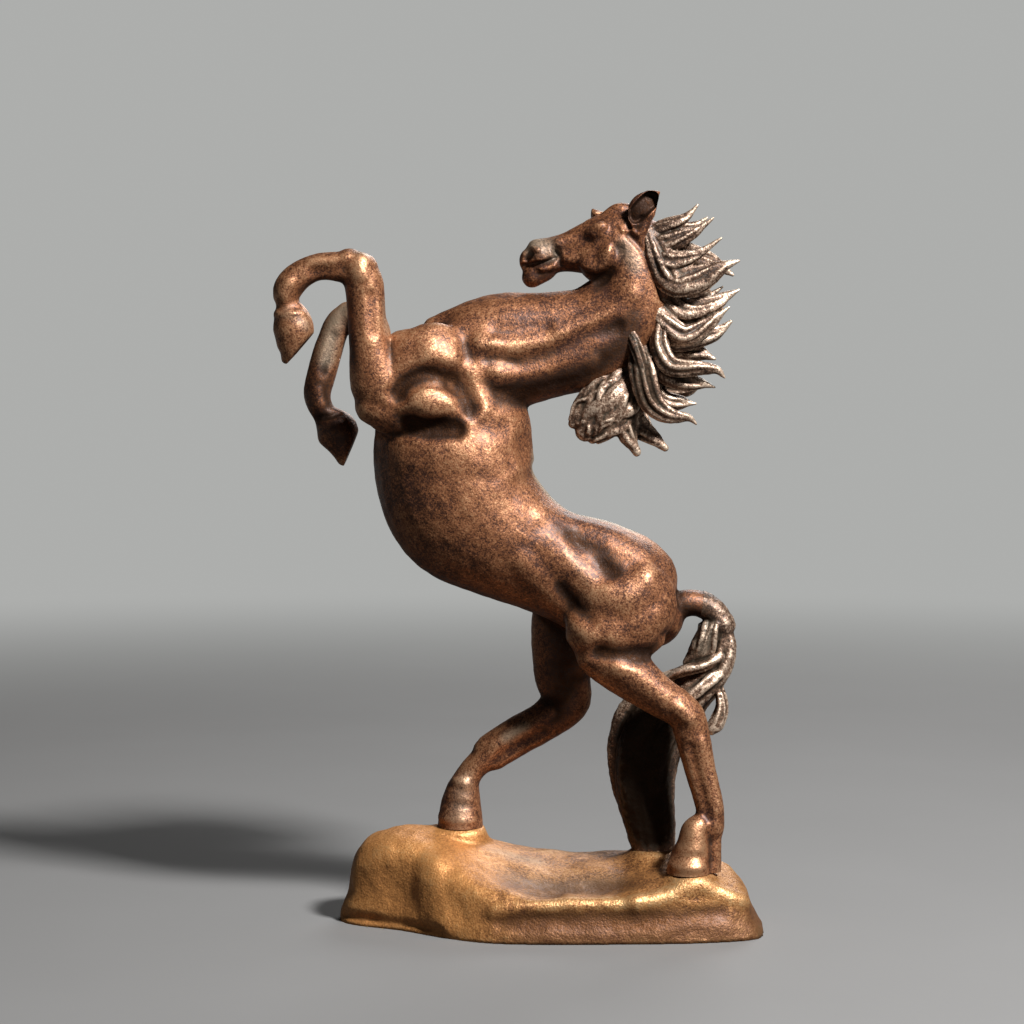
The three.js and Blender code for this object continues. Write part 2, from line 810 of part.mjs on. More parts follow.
place("base_casting", base, finishes.rock);
place("torso_casting", drilled(torso), finishes.horse);
place("neck_casting", drilled(neck), finishes.horse);
place("head_casting", drilled(head), finishes.horse);
place("near_foreleg", drilled(nearForeleg), finishes.horse);
place("far_foreleg", drilled(farForeleg), finishes.horse);
place("near_hind_leg", drilled(nearHindLeg), finishes.horse);
place("far_hind_leg", drilled(farHindLeg), finishes.horse);
place("tail_arch", drilled(tailArch), finishes.mane);
place("tail_fall", drilled(tailFall), finishes.mane);
for (const [name, solid] of Object.entries(maneSolids)) place(name, drilled(solid), finishes.mane);
place("core_plug", plugRod(0).intersect(barrel).subtract(limb(shape.core, fitGap)), finishes.horse);
for (const [name, seat] of Object.entries(dowels)) place(name, dowel(seat, 0), finishes.rod);
for (const [name, seat] of Object.entries(manePins)) place(`${name}_pin`, manePin(seat, 0), finishes.rod);

for (const [name, { point }] of Object.entries(feet)) {
  const studTop = point.z + studInCasting;
  const washerTop = bossSeat - fitGap;
  const bore = post(point, 0, bossSeat, studRadius + fitGap);
  const washer = post(point, washerTop - washerThickness, washerTop, washerRadius, washerRadius, sides.disc);
  const corner = nutAcrossFlats / Math.sqrt(3);
  const nut = post(point, nutTop - nutHeight, nutTop, corner, corner, sides.nut);
  place(`${name}_stud`, post(point, studBottom, studTop, studRadius), finishes.steel);
  place(`${name}_washer`, carve(washer, bore), finishes.steel);
  place(`${name}_nut`, carve(nut, bore), finishes.steel);
}

export default object;
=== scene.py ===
"""A bronze figurine of a rearing horse on a rock base. Metres, +Z up, -Y towards the camera."""

import json
import math

import bmesh
import bpy
import numpy as np
from mathutils import Matrix, Vector, noise
from mathutils.bvhtree import BVHTree


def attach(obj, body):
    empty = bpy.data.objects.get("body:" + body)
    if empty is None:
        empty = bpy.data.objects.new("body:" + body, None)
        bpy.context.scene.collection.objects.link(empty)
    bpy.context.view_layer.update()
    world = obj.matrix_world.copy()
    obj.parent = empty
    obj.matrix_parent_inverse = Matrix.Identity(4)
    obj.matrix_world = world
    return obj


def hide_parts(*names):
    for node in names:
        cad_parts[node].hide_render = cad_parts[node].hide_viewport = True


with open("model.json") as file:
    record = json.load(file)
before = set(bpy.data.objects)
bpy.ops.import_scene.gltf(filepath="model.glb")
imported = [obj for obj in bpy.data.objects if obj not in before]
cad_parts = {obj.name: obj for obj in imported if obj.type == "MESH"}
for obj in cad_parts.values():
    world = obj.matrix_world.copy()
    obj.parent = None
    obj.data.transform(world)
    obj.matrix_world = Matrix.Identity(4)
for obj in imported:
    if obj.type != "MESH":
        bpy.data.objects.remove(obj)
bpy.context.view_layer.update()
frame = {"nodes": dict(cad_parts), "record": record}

MM = 0.001

# Sizes in millimetres
SKIN_VOXEL = 0.62
HAIR_VOXEL = 0.36
ROCK_VOXEL = 0.75
LEAST_RADIUS = 0.4  # of a tip
FOOT_OVERLAP = 0.4  # how far a foot or the tail goes into its pad
PADS = {"near_hind_leg": 20.55, "far_hind_leg": 30.5, "tail_fall": 24.1}  # how high their pads are
FEET = [(53, -15), (-19.4, 12), (43.6, 6)]  # where the hooves and the tail stand

# How the wear on ridges and in hollows is found: rounds of smoothing, and the height of a full ridge
RIDGE = (14, 0.22)
HOLLOW = (90, 1.3)
ROCK_ROUNDS = 24  # of smoothing all over the rock
PAD_ROUNDS = 40  # and of more around the pads

DROPPED = -1  # the label of what a skin doesn't keep

# Each station is (x, y, z, deep, wide) in millimetres: a point on a form's middle line, half its size in
# the plane of the horse's profile and half its size across that plane. They run from the body outwards.
BARREL = [
    (-34.5, 0, 184, 8.5, 12), (-27, 0, 176, 18.5, 17), (-21.5, 0, 161, 24.5, 20),
    (-21, 0, 147.5, 25.6, 21.5), (-16, 0, 134.5, 25.4, 21.5), (-4.7, 0, 124.9, 20.6, 19.5),
    (9, 0, 117.5, 17.3, 16.5), (24, 0, 112, 18.6, 17.5), (36, 0, 106, 18, 17.5),
    (42, 0, 100, 10.6, 12.5),
]
SHOULDER = [(-19.5, -9, 183.5, 9, 6.6), (-28.5, -12, 181, 14, 8.5), (-37, -13, 172, 10.5, 8)]
UPPER_ARM = [(-21.5, -15, 168.5, 5, 4.5), (-29, -15.5, 167, 8.8, 6.2), (-37, -15, 168, 6.3, 5.5)]
ELBOW = [(-36, -12, 164.5, 7, 7), (-45.5, -13.5, 167, 6.4, 6.6)]
HAUNCH = [(32, -8, 119.5, 6, 5.5), (33, -10, 107.5, 17, 10), (27, -11.5, 93.5, 14, 9)]
LOWER_NECK = [
    (-20, 0, 176.5, 20.5, 16.5), (-6, 0, 183.5, 19.2, 14.5), (8, 0, 186, 17, 12.5),
    (22.5, 0, 189, 16, 11.5), (33.5, 0, 197, 14.5, 11),
]
UPPER_NECK = [
    (24, 0, 190, 13, 10.5), (33.5, 0, 197, 14.3, 11), (36.5, 0, 208.5, 11.5, 10),
    (35.5, 0, 218.5, 9, 9),
]
NEAR_FOREARM = [
    (-38, -13, 171, 9.5, 8), (-44, -14, 174, 9.3, 7.5), (-47, -15, 185, 6.4, 6.4),
    (-48, -15, 197.5, 6, 6), (-49, -15, 206, 6.2, 6), (-53, -15, 211, 5.2, 5.6),
]
NEAR_FORE_CANNON = [
    (-49.5, -15, 209.5, 5.4, 5.6), (-61.5, -15, 210.5, 4.3, 4.8), (-68.5, -15, 207.7, 4.5, 4.8),
    (-72.3, -15, 203.5, 4.6, 5), (-73.2, -15, 198.8, 3.7, 4.4),
]
NEAR_FORE_HOOF = [
    (-73, -15, 199.5, 3.2, 4), (-71.4, -15, 194.8, 5.7, 5.8), (-70.6, -15, 189.8, 6.3, 6.3),
    (-71.8, -15, 184, 4.2, 4.6), (-72.8, -15, 181.8, 2, 3),
]
FAR_FOREARM = [
    (-39, 13, 171, 9, 8), (-45, 14, 176, 8.4, 7), (-48, 15, 186, 6, 6), (-51, 16, 195.5, 5.4, 5.8),
    (-55.5, 17, 196.6, 4.2, 5.2),
]
FAR_FORE_CANNON = [
    (-54.5, 17, 196, 4.2, 5.2), (-58.5, 17, 194, 4.4, 5.2), (-61.3, 17, 187.5, 4.6, 5),
    (-64, 17, 178.5, 4.8, 5), (-65.8, 17, 170, 4.4, 5), (-63.3, 17, 163, 3.6, 4.4),
]
FAR_FORE_HOOF = [
    (-64.3, 17, 165, 3.2, 4.2), (-60, 17, 159.5, 6.8, 6.2), (-58, 17, 155, 6, 6), (-57, 17, 150, 3, 4),
]
NEAR_GASKIN = [
    (33, -11, 100, 15, 9), (28.5, -12, 91.5, 12, 8.5), (34, -13, 83.5, 8.6, 7.2),
    (42.5, -13, 76.5, 6.5, 6.4), (51.5, -13, 70.5, 5.8, 5.8), (54.2, -13, 63.5, 5.6, 5.2),
    (56.8, -13, 52, 4.9, 4.8), (59.6, -13, 41.5, 4.5, 4.8), (60.4, -13, 34, 4.2, 4.8),
]
NEAR_HIND_PASTERN = [
    (57.6, -14, 36, 3.2, 4.2), (54.9, -15.5, 33.6, 4.2, 4.8), (54.4, -15.4, 29.5, 5, 5.8),
    (53.4, -15, 24, 6.4, 7.6), (53, -15, 19, 7.2, 8.2),
]
NEAR_HIND_HEEL = [
    (59.8, -12.5, 40, 3.6, 4), (60.9, -12.5, 33, 2.8, 3.8), (61.2, -12.8, 27, 2.4, 3.6),
    (61.3, -13, 20, 2.4, 3.6),
]
FAR_GASKIN = [
    (24, 9, 106, 18.5, 9), (17.5, 11, 92, 15, 9), (13.8, 12, 80.5, 9.6, 7.6), (15.2, 12, 71.5, 8, 6.4),
    (8.8, 12, 65, 6.6, 5.4), (-1.6, 12, 59, 6.4, 5.4), (-9.5, 12, 54, 6.2, 5.8),
]
FAR_HIND_PASTERN = [
    (-11, 12, 53, 4.4, 5.4), (-16.6, 12, 46.8, 4.2, 5.2), (-19, 12, 39, 6.3, 7),
    (-19.4, 12, 29, 7.6, 8.2),
]
TAIL_DOCK = [
    (46, 0, 101, 4.8, 5), (54, 0.5, 104, 4.3, 5), (60.6, 1, 102.2, 4.3, 5.2), (64.6, 1, 97, 4.5, 5.6),
]
TAIL = [
    (63, 1, 99.8, 4.3, 5.4), (65, 1.5, 90.5, 5.1, 6.2), (61.5, 2, 82, 6.4, 7), (54, 3.5, 75, 8.6, 7.8),
    (45.5, 6, 67.5, 12, 8.8), (41, 7, 57, 12.8, 9.2), (40.4, 7, 44, 12, 9.2),
    (42, 6.5, 32.5, 10.3, 8.8), (43.6, 6, 22, 8.2, 7.8),
]
TAIL_CURL = [
    (60.5, 0.5, 82, 3, 3.4), (63.4, -0.5, 77, 1.8, 2.6), (64.4, -1.5, 70.5, 2.4, 2.8),
    (61.8, -2.5, 64.5, 3, 2.8), (57.5, -2, 62.5, 1.4, 1.6),
]
TAIL_FOLDS = [
    [(63.5, -3, 87, 2.2, 2.4), (58, -5, 84.5, 2.2, 2.2), (51.5, -4.5, 82.8, 2, 2.2),
     (46.5, -2, 79, 1.6, 2), (43, 0, 73.5, 0.8, 1)],
    [(64, -3.5, 82, 2.2, 2.2), (58.5, -6, 78.5, 2.2, 2.2), (53, -6.5, 74, 2, 2), (48.5, -5, 68, 1.2, 1.4)],
]
TAIL_FLUFF = [
    (62.6, 0.5, 98, 3, 4.6), (60, -1, 93.6, 4.4, 5.2), (57.4, -1.5, 89, 4, 4.8),
    (53.4, -1.5, 85, 1.6, 2.2),
]
SKULL = [
    (38.5, 0, 218, 9, 8.5), (32.5, 0, 218.5, 10.2, 9.3), (26.5, 0, 217.5, 10.2, 8.6),
    (20.5, 0, 216.5, 8.2, 6.8), (14.5, 0, 215.5, 6.2, 5.6), (9.5, 0, 214.5, 5.8, 5.4),
    (5.8, 0, 213.7, 6.2, 5.8), (4, 0, 213, 4.5, 4.6),
]
CHEEK = [(29, -5, 214.5, 7.5, 4.5), (22.5, -4.5, 211.5, 5.5, 3.5)]
CHIN = [(8.5, 0, 209.5, 3, 3.8), (3.8, 0, 207.6, 3.4, 4.2)]
BROW = [(25.6, -7, 222, 2.6, 2.4), (22, -6.2, 220.6, 1.6, 1.8)]
FORELOCK = [(36.5, 0, 227.5, 3, 3.4), (31, -1, 229, 2.2, 3), (26.6, -1.5, 227.6, 0.8, 1.2)]
NEAR_EAR = [
    (37.2, -6, 218.5, 2.6, 2.6), (37.3, -7.2, 224.5, 3.8, 3.1), (38.5, -8, 229, 4.6, 3),
    (41.3, -7.8, 232.3, 2.9, 2.2), (43.6, -7.4, 234, 0.8, 0.8),
]
FAR_EAR = [
    (28.5, 5.5, 220.5, 3, 3), (26.2, 7.4, 224.5, 3, 2.6), (24.8, 8.2, 227.2, 2.6, 2.2),
    (23.4, 8.8, 229.1, 1.2, 1.1),
]

# The mane's locks, from root to tip, one list for each of its castings
MANE = {
    "mane_upper": [
        [(40.7, -5, 221, 1.9, 2.2), (47, -6, 223.5, 2.2, 2.2), (52, -6, 226, 1.6, 1.8),
         (55.9, -6, 230.2, 0.5, 0.6)],
        [(41.3, -6, 218, 2.4, 2.4), (48, -7, 219, 2.4, 2.4), (54.5, -7, 221.5, 1.9, 1.8),
         (60.8, -7, 226, 0.5, 0.6)],
        [(42.8, -7, 214, 2.4, 2.6), (48, -8, 212.5, 2.7, 2.6), (55.5, -8, 214.6, 1.9, 2),
         (63.2, -8, 219.6, 0.5, 0.6)],
        [(43, -6, 209, 2.8, 3), (49, -8, 205.5, 3.8, 2.8), (57, -8, 207, 3.8, 2.6),
         (64, -8, 210.8, 2.2, 2), (69, -7, 212.6, 0.5, 0.6)],
        [(39.6, -6, 221.5, 2.6, 3), (42.6, -6.6, 215, 3.4, 3.6), (45.6, -7, 209, 3.9, 3.6),
         (48.8, -7.5, 204.8, 3.6, 3.2), (52.5, -7.5, 204, 2.4, 2.4)],
        [(40, 1, 218, 5, 6), (47, 1, 215.5, 4.6, 6), (57, 3, 213.5, 3.4, 4),
         (63.5, 4, 211, 2.4, 2.6), (67.8, 4, 208.6, 0.8, 0.9)],
        [(40.5, 5, 221, 2.6, 2.6), (48, 7, 223, 2.6, 2.4), (55, 8, 224, 1.8, 2),
         (60, 8, 227, 0.5, 0.6)],
        [(41, 0, 209, 5, 7), (48, 0, 207.5, 4.2, 7), (55, 3, 205.6, 4.4, 4), (60, 7, 203, 2, 2)],
    ],
    "mane_middle": [
        [(42.5, -3, 202.5, 3.4, 3.4), (51, -4, 196, 3.8, 3), (59, -4, 197.6, 3.2, 2.6),
         (65.3, -3, 201.5, 1.9, 2), (69.2, -3, 203.6, 0.5, 0.6)],
        [(42.5, -6, 197, 2.6, 2.8), (50.5, -7, 189.6, 2.7, 2.6), (57, -6, 191.2, 2.5, 2.2),
         (62, -5, 195, 1.9, 2), (65.9, -5, 198, 0.5, 0.6)],
        [(42, 0, 194, 5, 7), (50, 0, 189, 4, 6), (61.5, 1, 190, 2.8, 2.8), (67, 1, 193.6, 0.9, 1)],
        [(42, 5, 200, 3.2, 3.2), (50, 7, 197, 3, 2.6), (58, 8, 200, 2.2, 2.2),
         (65, 8, 205, 0.5, 0.6)],
    ],
    "mane_lower": [
        [(38, 0, 187, 6, 7), (41.5, 0, 178.5, 6.5, 7.5), (40, 0, 170.5, 5, 6.5)],
        [(44.2, -5, 199, 0.9, 1.4), (44.6, -6.4, 192, 1.7, 2.2), (44, -7.5, 186.5, 2.4, 2.6),
         (47.4, -8.5, 179.7, 2.8, 2.4), (55.3, -9, 179, 2.5, 2.4), (61.6, -8, 178.4, 1.9, 2),
         (64.4, -8, 175.8, 0.5, 0.6)],
        [(42, -4, 179, 3.4, 3), (52.5, -5, 174.8, 2.5, 2.6), (57, -5, 174, 1.9, 2),
         (61.5, -5, 172.8, 0.5, 0.6)],
        [(42, 3, 185, 3.4, 3.2), (51.5, 3, 184.5, 2.8, 2.8), (57.5, 3, 183.6, 2.6, 2.4),
         (62, 2, 181.8, 0.7, 0.8)],
        [(36, -2.5, 189, 1.2, 1.6), (38, -8.4, 179.5, 2.9, 2.5), (41, -9, 169, 3.2, 2.8),
         (46.8, -8.5, 164.2, 2.5, 2.4), (53, -7, 163.3, 1.6, 2), (55.6, -7, 161.2, 0.5, 0.6)],
        [(32.5, -7.4, 194, 1, 1.2), (36, -9.2, 187, 1.7, 1.6), (38.4, -9.6, 179, 1.9, 1.7),
         (40.5, -9.4, 171, 1.2, 1.3)],
        [(40, 0, 172, 4.4, 5), (45.5, -2, 168.6, 2.8, 3), (51, -2, 168, 2.2, 2.2),
         (55.7, -2, 167.6, 0.5, 0.6)],
        [(38.5, 5, 180, 4, 4), (46, 7, 174, 3, 2.8), (54, 7, 172, 2, 2.2), (59, 7, 174.5, 0.5, 0.6)],
    ],
    "mane_tuft": [
        [(34, -3, 173, 6.5, 6), (28.5, -4, 167.5, 8, 6.2), (23.8, -4.5, 163, 7.4, 5.4),
         (20.5, -5, 158.8, 4, 3.6)],
        [(34.5, -1, 178, 4, 6), (31, -2, 173, 5, 6), (25.5, -4, 167.5, 6.2, 4.6),
         (20, -5, 164.2, 5.4, 3.6), (16.8, -5, 161.3, 2.4, 2.2)],
        [(32, -4, 168, 5.2, 4.4), (26.3, -5.5, 161, 5, 3.8), (23, -5, 156.3, 2, 2)],
        [(33, -3, 168, 4.2, 3.8), (34, -4, 158, 2.9, 3), (37, -4, 152.2, 1.9, 1.9)],
        [(33, 3, 172, 5, 4.6), (30, 4, 163, 4.8, 4), (25, 4, 156.4, 2.3, 2.5)],
        [(34, -1, 164, 4, 3.8), (39, -2, 159.5, 2.9, 2.8), (43, -3, 156, 2.2, 2.2),
         (46, -3, 153.6, 1.7, 1.7)],
    ],
}

# A seam's point and the way from the body out into the limb
NECK_SEAM = ((8, 0, 186.5), (1, 0, 0.14))
HEAD_SEAM = ((34.5, 0, 213.5), (-0.62, 0, 0.78))
THROAT_SEAM = ((22.8, 0, 204.2), (0.16, 0, 0.987))
NEAR_FORE_SEAM = ((-47, -15, 186.5), (-0.1, 0, 1))
FAR_FORE_SEAM = ((-47.6, 14.9, 185), (-0.25, 0, 0.97))
NEAR_HIND_SEAM = ((38, -13, 80.2), (0.77, 0, -0.64))
FAR_HIND_SEAM = ((14.8, 12, 77), (0, 0, -1))
TAIL_SEAM = ((58, 0.8, 103.2), (1, 0, -0.15))
TAIL_FALL_SEAM = ((51, 4.6, 72.2), (-0.7, 0, -0.71))


def mirrored(stations):
    return [(x, -y, z, deep, wide) for x, y, z, deep, wide in stations]


# Forms

def curve_through(points, per_span):
    """Points on a smooth curve through the given rows, per_span of them from each row to the next."""
    rows = np.array(points, float)
    rows = np.vstack([2 * rows[0] - rows[1], rows, 2 * rows[-1] - rows[-2]])
    out = []
    for i in range(1, len(rows) - 2):
        a, b, c, d = rows[i - 1 : i + 3]
        for t in np.arange(per_span) / per_span:
            bend = (2 * a - 5 * b + 4 * c - d) * t**2 + (3 * b - a - 3 * c + d) * t**3
            out.append(b + 0.5 * (c - a) * t + 0.5 * bend)
    return np.array(out + [rows[-2]])


def axes_along(tangent):
    """The way along a form, across the horse and in the plane of its profile."""
    along = Vector(tangent).normalized()
    across = (Vector((0, 1, 0)) - along * along.y).normalized()
    return along, across, along.cross(across)


def ring_matrices(stations, per_span):
    """The place of each ring of a swept form, with rounded ends, as matrices for a unit circle."""
    rows = curve_through(stations, per_span)
    tangents = np.gradient(rows[:, :3], axis=0)
    dome = [math.radians(angle) for angle in (35, 60, 80)]
    rings = [(0, -math.sin(angle), math.cos(angle)) for angle in reversed(dome)]
    rings += [(i, 0, 1) for i in range(len(rows))]
    rings += [(-1, math.sin(angle), math.cos(angle)) for angle in dome]
    matrices = []
    for i, push, scale in rings:
        x, y, z, deep, wide = rows[i]
        deep, wide = max(deep, LEAST_RADIUS), max(wide, LEAST_RADIUS)
        along, across, inward = axes_along(tangents[i])
        place = Vector((x, y, z)) + along * push * min(deep, wide)
        columns = Matrix([across * wide * scale, inward * deep * scale, along]).transposed()
        size = Matrix.Diagonal((MM, MM, MM, 1))
        matrices.append(Matrix.Translation(place * MM) @ columns.to_4x4() @ size)
    return matrices


def sweep(bm, stations, sides=28, per_span=5):
    """Adds a disc extruded through the stations."""
    matrices = ring_matrices(stations, per_span)
    form = bmesh.new()
    verts = bmesh.ops.create_circle(form, cap_ends=True, radius=1, segments=sides)["verts"]
    bmesh.ops.transform(form, matrix=matrices[0], verts=verts)
    face = form.faces[:][0]
    for before, after in zip(matrices, matrices[1:]):
        made = bmesh.ops.extrude_face_region(form, geom=[face])["geom"]
        verts = [g for g in made if isinstance(g, bmesh.types.BMVert)]
        old, face = face, next(g for g in made if isinstance(g, bmesh.types.BMFace))
        if old.is_valid and before is not matrices[0]:
            bmesh.ops.delete(form, geom=[old], context="FACES_ONLY")
        bmesh.ops.transform(form, matrix=after @ before.inverted(), verts=verts)
    mesh = bpy.data.meshes.new("form")
    form.to_mesh(mesh)
    form.free()
    bm.from_mesh(mesh)
    bpy.data.meshes.remove(mesh)


def new_object(bm, name):
    """The mesh as an object in the scene, with its faces pointing out and smooth."""
    bmesh.ops.recalc_face_normals(bm, faces=bm.faces)
    for face in bm.faces:
        face.smooth = True
    mesh = bpy.data.meshes.new(name)
    bm.to_mesh(mesh)
    bm.free()
    obj = bpy.data.objects.new(name, mesh)
    bpy.context.scene.collection.objects.link(obj)
    return obj


def smooth(bm, verts, factor=0.5):
    bmesh.ops.smooth_vert(bm, verts=verts, factor=factor, use_axis_x=True, use_axis_y=True, use_axis_z=True)


def fused(bm, voxel, rounds):
    """Melts overlapping forms into one skin, as wax does, and smooths it. The voxel is in millimetres."""
    obj = new_object(bm, "wax")
    melt = obj.modifiers.new("melt", "REMESH")
    melt.mode = "VOXEL"
    melt.voxel_size = voxel * MM
    depsgraph = bpy.context.evaluated_depsgraph_get()
    mesh = bpy.data.meshes.new_from_object(obj.evaluated_get(depsgraph))
    bpy.data.objects.remove(obj)
    skin = bmesh.new()
    skin.from_mesh(mesh)
    bpy.data.meshes.remove(mesh)
    for _ in range(rounds):
        smooth(skin, skin.verts)
    return skin


# Sculpting

def skin_arrays(bm):
    """Where the vertices are, in millimetres, and the way each one faces."""
    bm.normal_update()
    place = np.array([v.co for v in bm.verts]) / MM
    normal = np.array([v.normal for v in bm.verts])
    return place, normal


def put_back(bm, place):
    for v, p in zip(bm.verts, place * MM):
        v.co = p


def distance_to(path, place, axes=(0, 1, 2)):
    """Each point's least distance to a smooth line through path, measured along the given axes only."""
    line = np.array([[p[a] for a in axes] for p in path], float)
    if len(path) > 2:
        line = curve_through(line, 3)
    flat = place[:, axes]
    best = np.full(len(place), np.inf)
    for a, b in zip(line, line[1:]):
        span = b - a
        t = np.clip(((flat - a) @ span) / (span @ span), 0, 1)
        best = np.minimum(best, np.linalg.norm(flat - a - t[:, None] * span, axis=1))
    return best


def soften(bm, centre, reach, rounds):
    """Smooths the skin around a point."""
    centre = Vector(centre) * MM
    near = [v for v in bm.verts if (v.co - centre).length < reach * MM]
    inner = [v for v in near if (v.co - centre).length < 0.7 * reach * MM]
    for i in range(rounds):
        smooth(bm, inner if i % 3 else near)


def falloff(share):
    return np.where(share < 1, (1 - share**2) ** 2, 0)


def carve(place, normal, strokes, side):
    """Raises or sinks the skin along strokes drawn on the profile, each (reach, height, (x, z) points),
    where it faces the given side: -1 for near and 1 for far."""
    facing = np.clip(normal[:, 1] * side * 1.8, 0, 1) * np.clip(place[:, 1] * side / 3, 0, 1)
    moved = place.copy()
    for reach, height, path in strokes:
        near = distance_to([(x, 0, z) for x, z in path], place, (0, 2))
        moved += normal * (falloff(near / reach) * facing * height)[:, None]
    return moved


def dig(place, normal, strokes):
    """The same for small features, with strokes drawn in space: (reach, height, (x, y, z) points)."""
    moved = place.copy()
    for reach, height, path in strokes:
        near = distance_to(path, place)
        moved += normal * (falloff(near / reach) * height)[:, None]
    return moved


def flatten(place, point, way, reach):
    """Presses skin that lies beyond a plane, and near its point, back on to it."""
    way = np.array(way) / np.linalg.norm(way)
    over = np.clip((place - point) @ way, 0, None)
    near = np.linalg.norm(place - point, axis=1) < reach
    return place - (over * near)[:, None] * way


def roughen(place, normal, size, height, seed=0.0):
    """Moves the skin in and out by a soft noise whose lumps are about the given size across."""
    shift = Vector((seed, -seed, 2 * seed))
    lumps = [noise.fractal(Vector(p) / size + shift, 0.8, 2.1, 3) for p in place]
    return place + normal * (np.array(lumps) * height)[:, None]


def neighbours_of(bm):
    """A function that averages a value per vertex over the vertices next to it."""
    bm.verts.index_update()
    ends = np.array([(e.verts[0].index, e.verts[1].index) for e in bm.edges])
    a, b = ends[:, 0], ends[:, 1]
    count = len(bm.verts)
    degree = np.bincount(a, minlength=count) + np.bincount(b, minlength=count)

    def mean(values):
        columns = []
        for column in values.T:
            columns.append(np.bincount(a, column[b], count) + np.bincount(b, column[a], count))
        return np.array(columns).T / np.maximum(degree, 1)[:, None]

    return mean


def mark_relief(bm, name, rounds, scale):
    """Stores how far each vertex stands out of the skin around it: 0.5 is level, 1 a ridge of scale mm."""
    place, normal = skin_arrays(bm)
    mean = neighbours_of(bm)
    level = place
    for _ in range(rounds):
        level = 0.4 * level + 0.6 * mean(level)
    height = ((place - level) * normal).sum(axis=1) / scale
    for _ in range(2):
        height = 0.5 * height + 0.5 * mean(height[:, None])[:, 0]
    layer = bm.verts.layers.float.new(name)
    for v, value in zip(bm.verts, np.clip(0.5 + 0.5 * height, 0, 1)):
        v[layer] = value


def mark_wear(bm, stain_and_painted_light_marks=(), painted_sheen_marks=()):
    """Stores what the finishes read: the wear at ridges and in hollows, moved by marks of patina, painted
    shade and painted highlights, and a painted sheen.
    """
    mark_relief(bm, "ridge", *RIDGE)
    mark_relief(bm, "hollow", *HOLLOW)
    bm.verts.layers.float.new("painted_sheen")
    # The marks push painted shade and painted highlights, besides patina and wear, into the ridge and
    # hollow values
    shift(bm, ("ridge", "hollow"), stain_and_painted_light_marks)
    shift(bm, ("painted_sheen",), painted_sheen_marks)


def shift(bm, names, marks):
    """Shifts attributes near lines, by marks of (line, reach, change)."""
    place, _ = skin_arrays(bm)
    total = np.zeros(len(place))
    for line, reach, change in marks:
        total += falloff(distance_to(line, place) / reach) * change
    moved = [(v, step) for v, step in zip(bm.verts, total) if step]
    for name in names:
        layer = bm.verts.layers.float[name]
        for v, step in moved:
            v[layer] = min(max(v[layer] + step, 0), 1)


# Parting the skin into castings

def scribe(bm, seam, reach):
    """Cuts a line of edges into the skin along a seam's plane, within reach of its point."""
    point, way = Vector(seam[0]) * MM, Vector(seam[1]).normalized()
    near = []
    for face in bm.faces:
        offset = face.calc_center_median() - point
        if abs(offset.dot(way)) < 2 * MM and offset.length < reach * MM:
            near.append(face)
    edges = {e for f in near for e in f.edges}
    verts = {v for f in near for v in f.verts}
    geometry = near + list(edges) + list(verts)
    bmesh.ops.bisect_plane(bm, geom=geometry, dist=1e-7, plane_co=point, plane_no=way)


def beyond(centres, seam):
    way = np.array(seam[1]) / np.linalg.norm(seam[1])
    return (centres - np.array(seam[0])) @ way > 0


def parted(bm, names, label_of):
    """Parts the skin into closed pieces by the label each face gets from its middle, in millimetres."""
    centres = np.array([f.calc_center_median() for f in bm.faces]) / MM
    layer = bm.faces.layers.int.new("casting")
    for face, label in zip(bm.faces, label_of(centres)):
        face[layer] = int(label)
    pieces = {}
    for number, name in enumerate(names):
        piece = bm.copy()
        layer = piece.faces.layers.int["casting"]
        others = [f for f in piece.faces if f[layer] != number]
        bmesh.ops.delete(piece, geom=others, context="FACES")
        close_ends(piece)
        pieces[name] = piece
    bm.free()
    return pieces


def close_ends(bm):
    rim = [e for e in bm.edges if e.is_boundary]
    for edge in rim:
        edge.smooth = False
    caps = bmesh.ops.holes_fill(bm, edges=rim, sides=0)["faces"]
    bmesh.ops.triangulate(bm, faces=caps)


# The horse's skin: limbs, trunk, neck and head in one

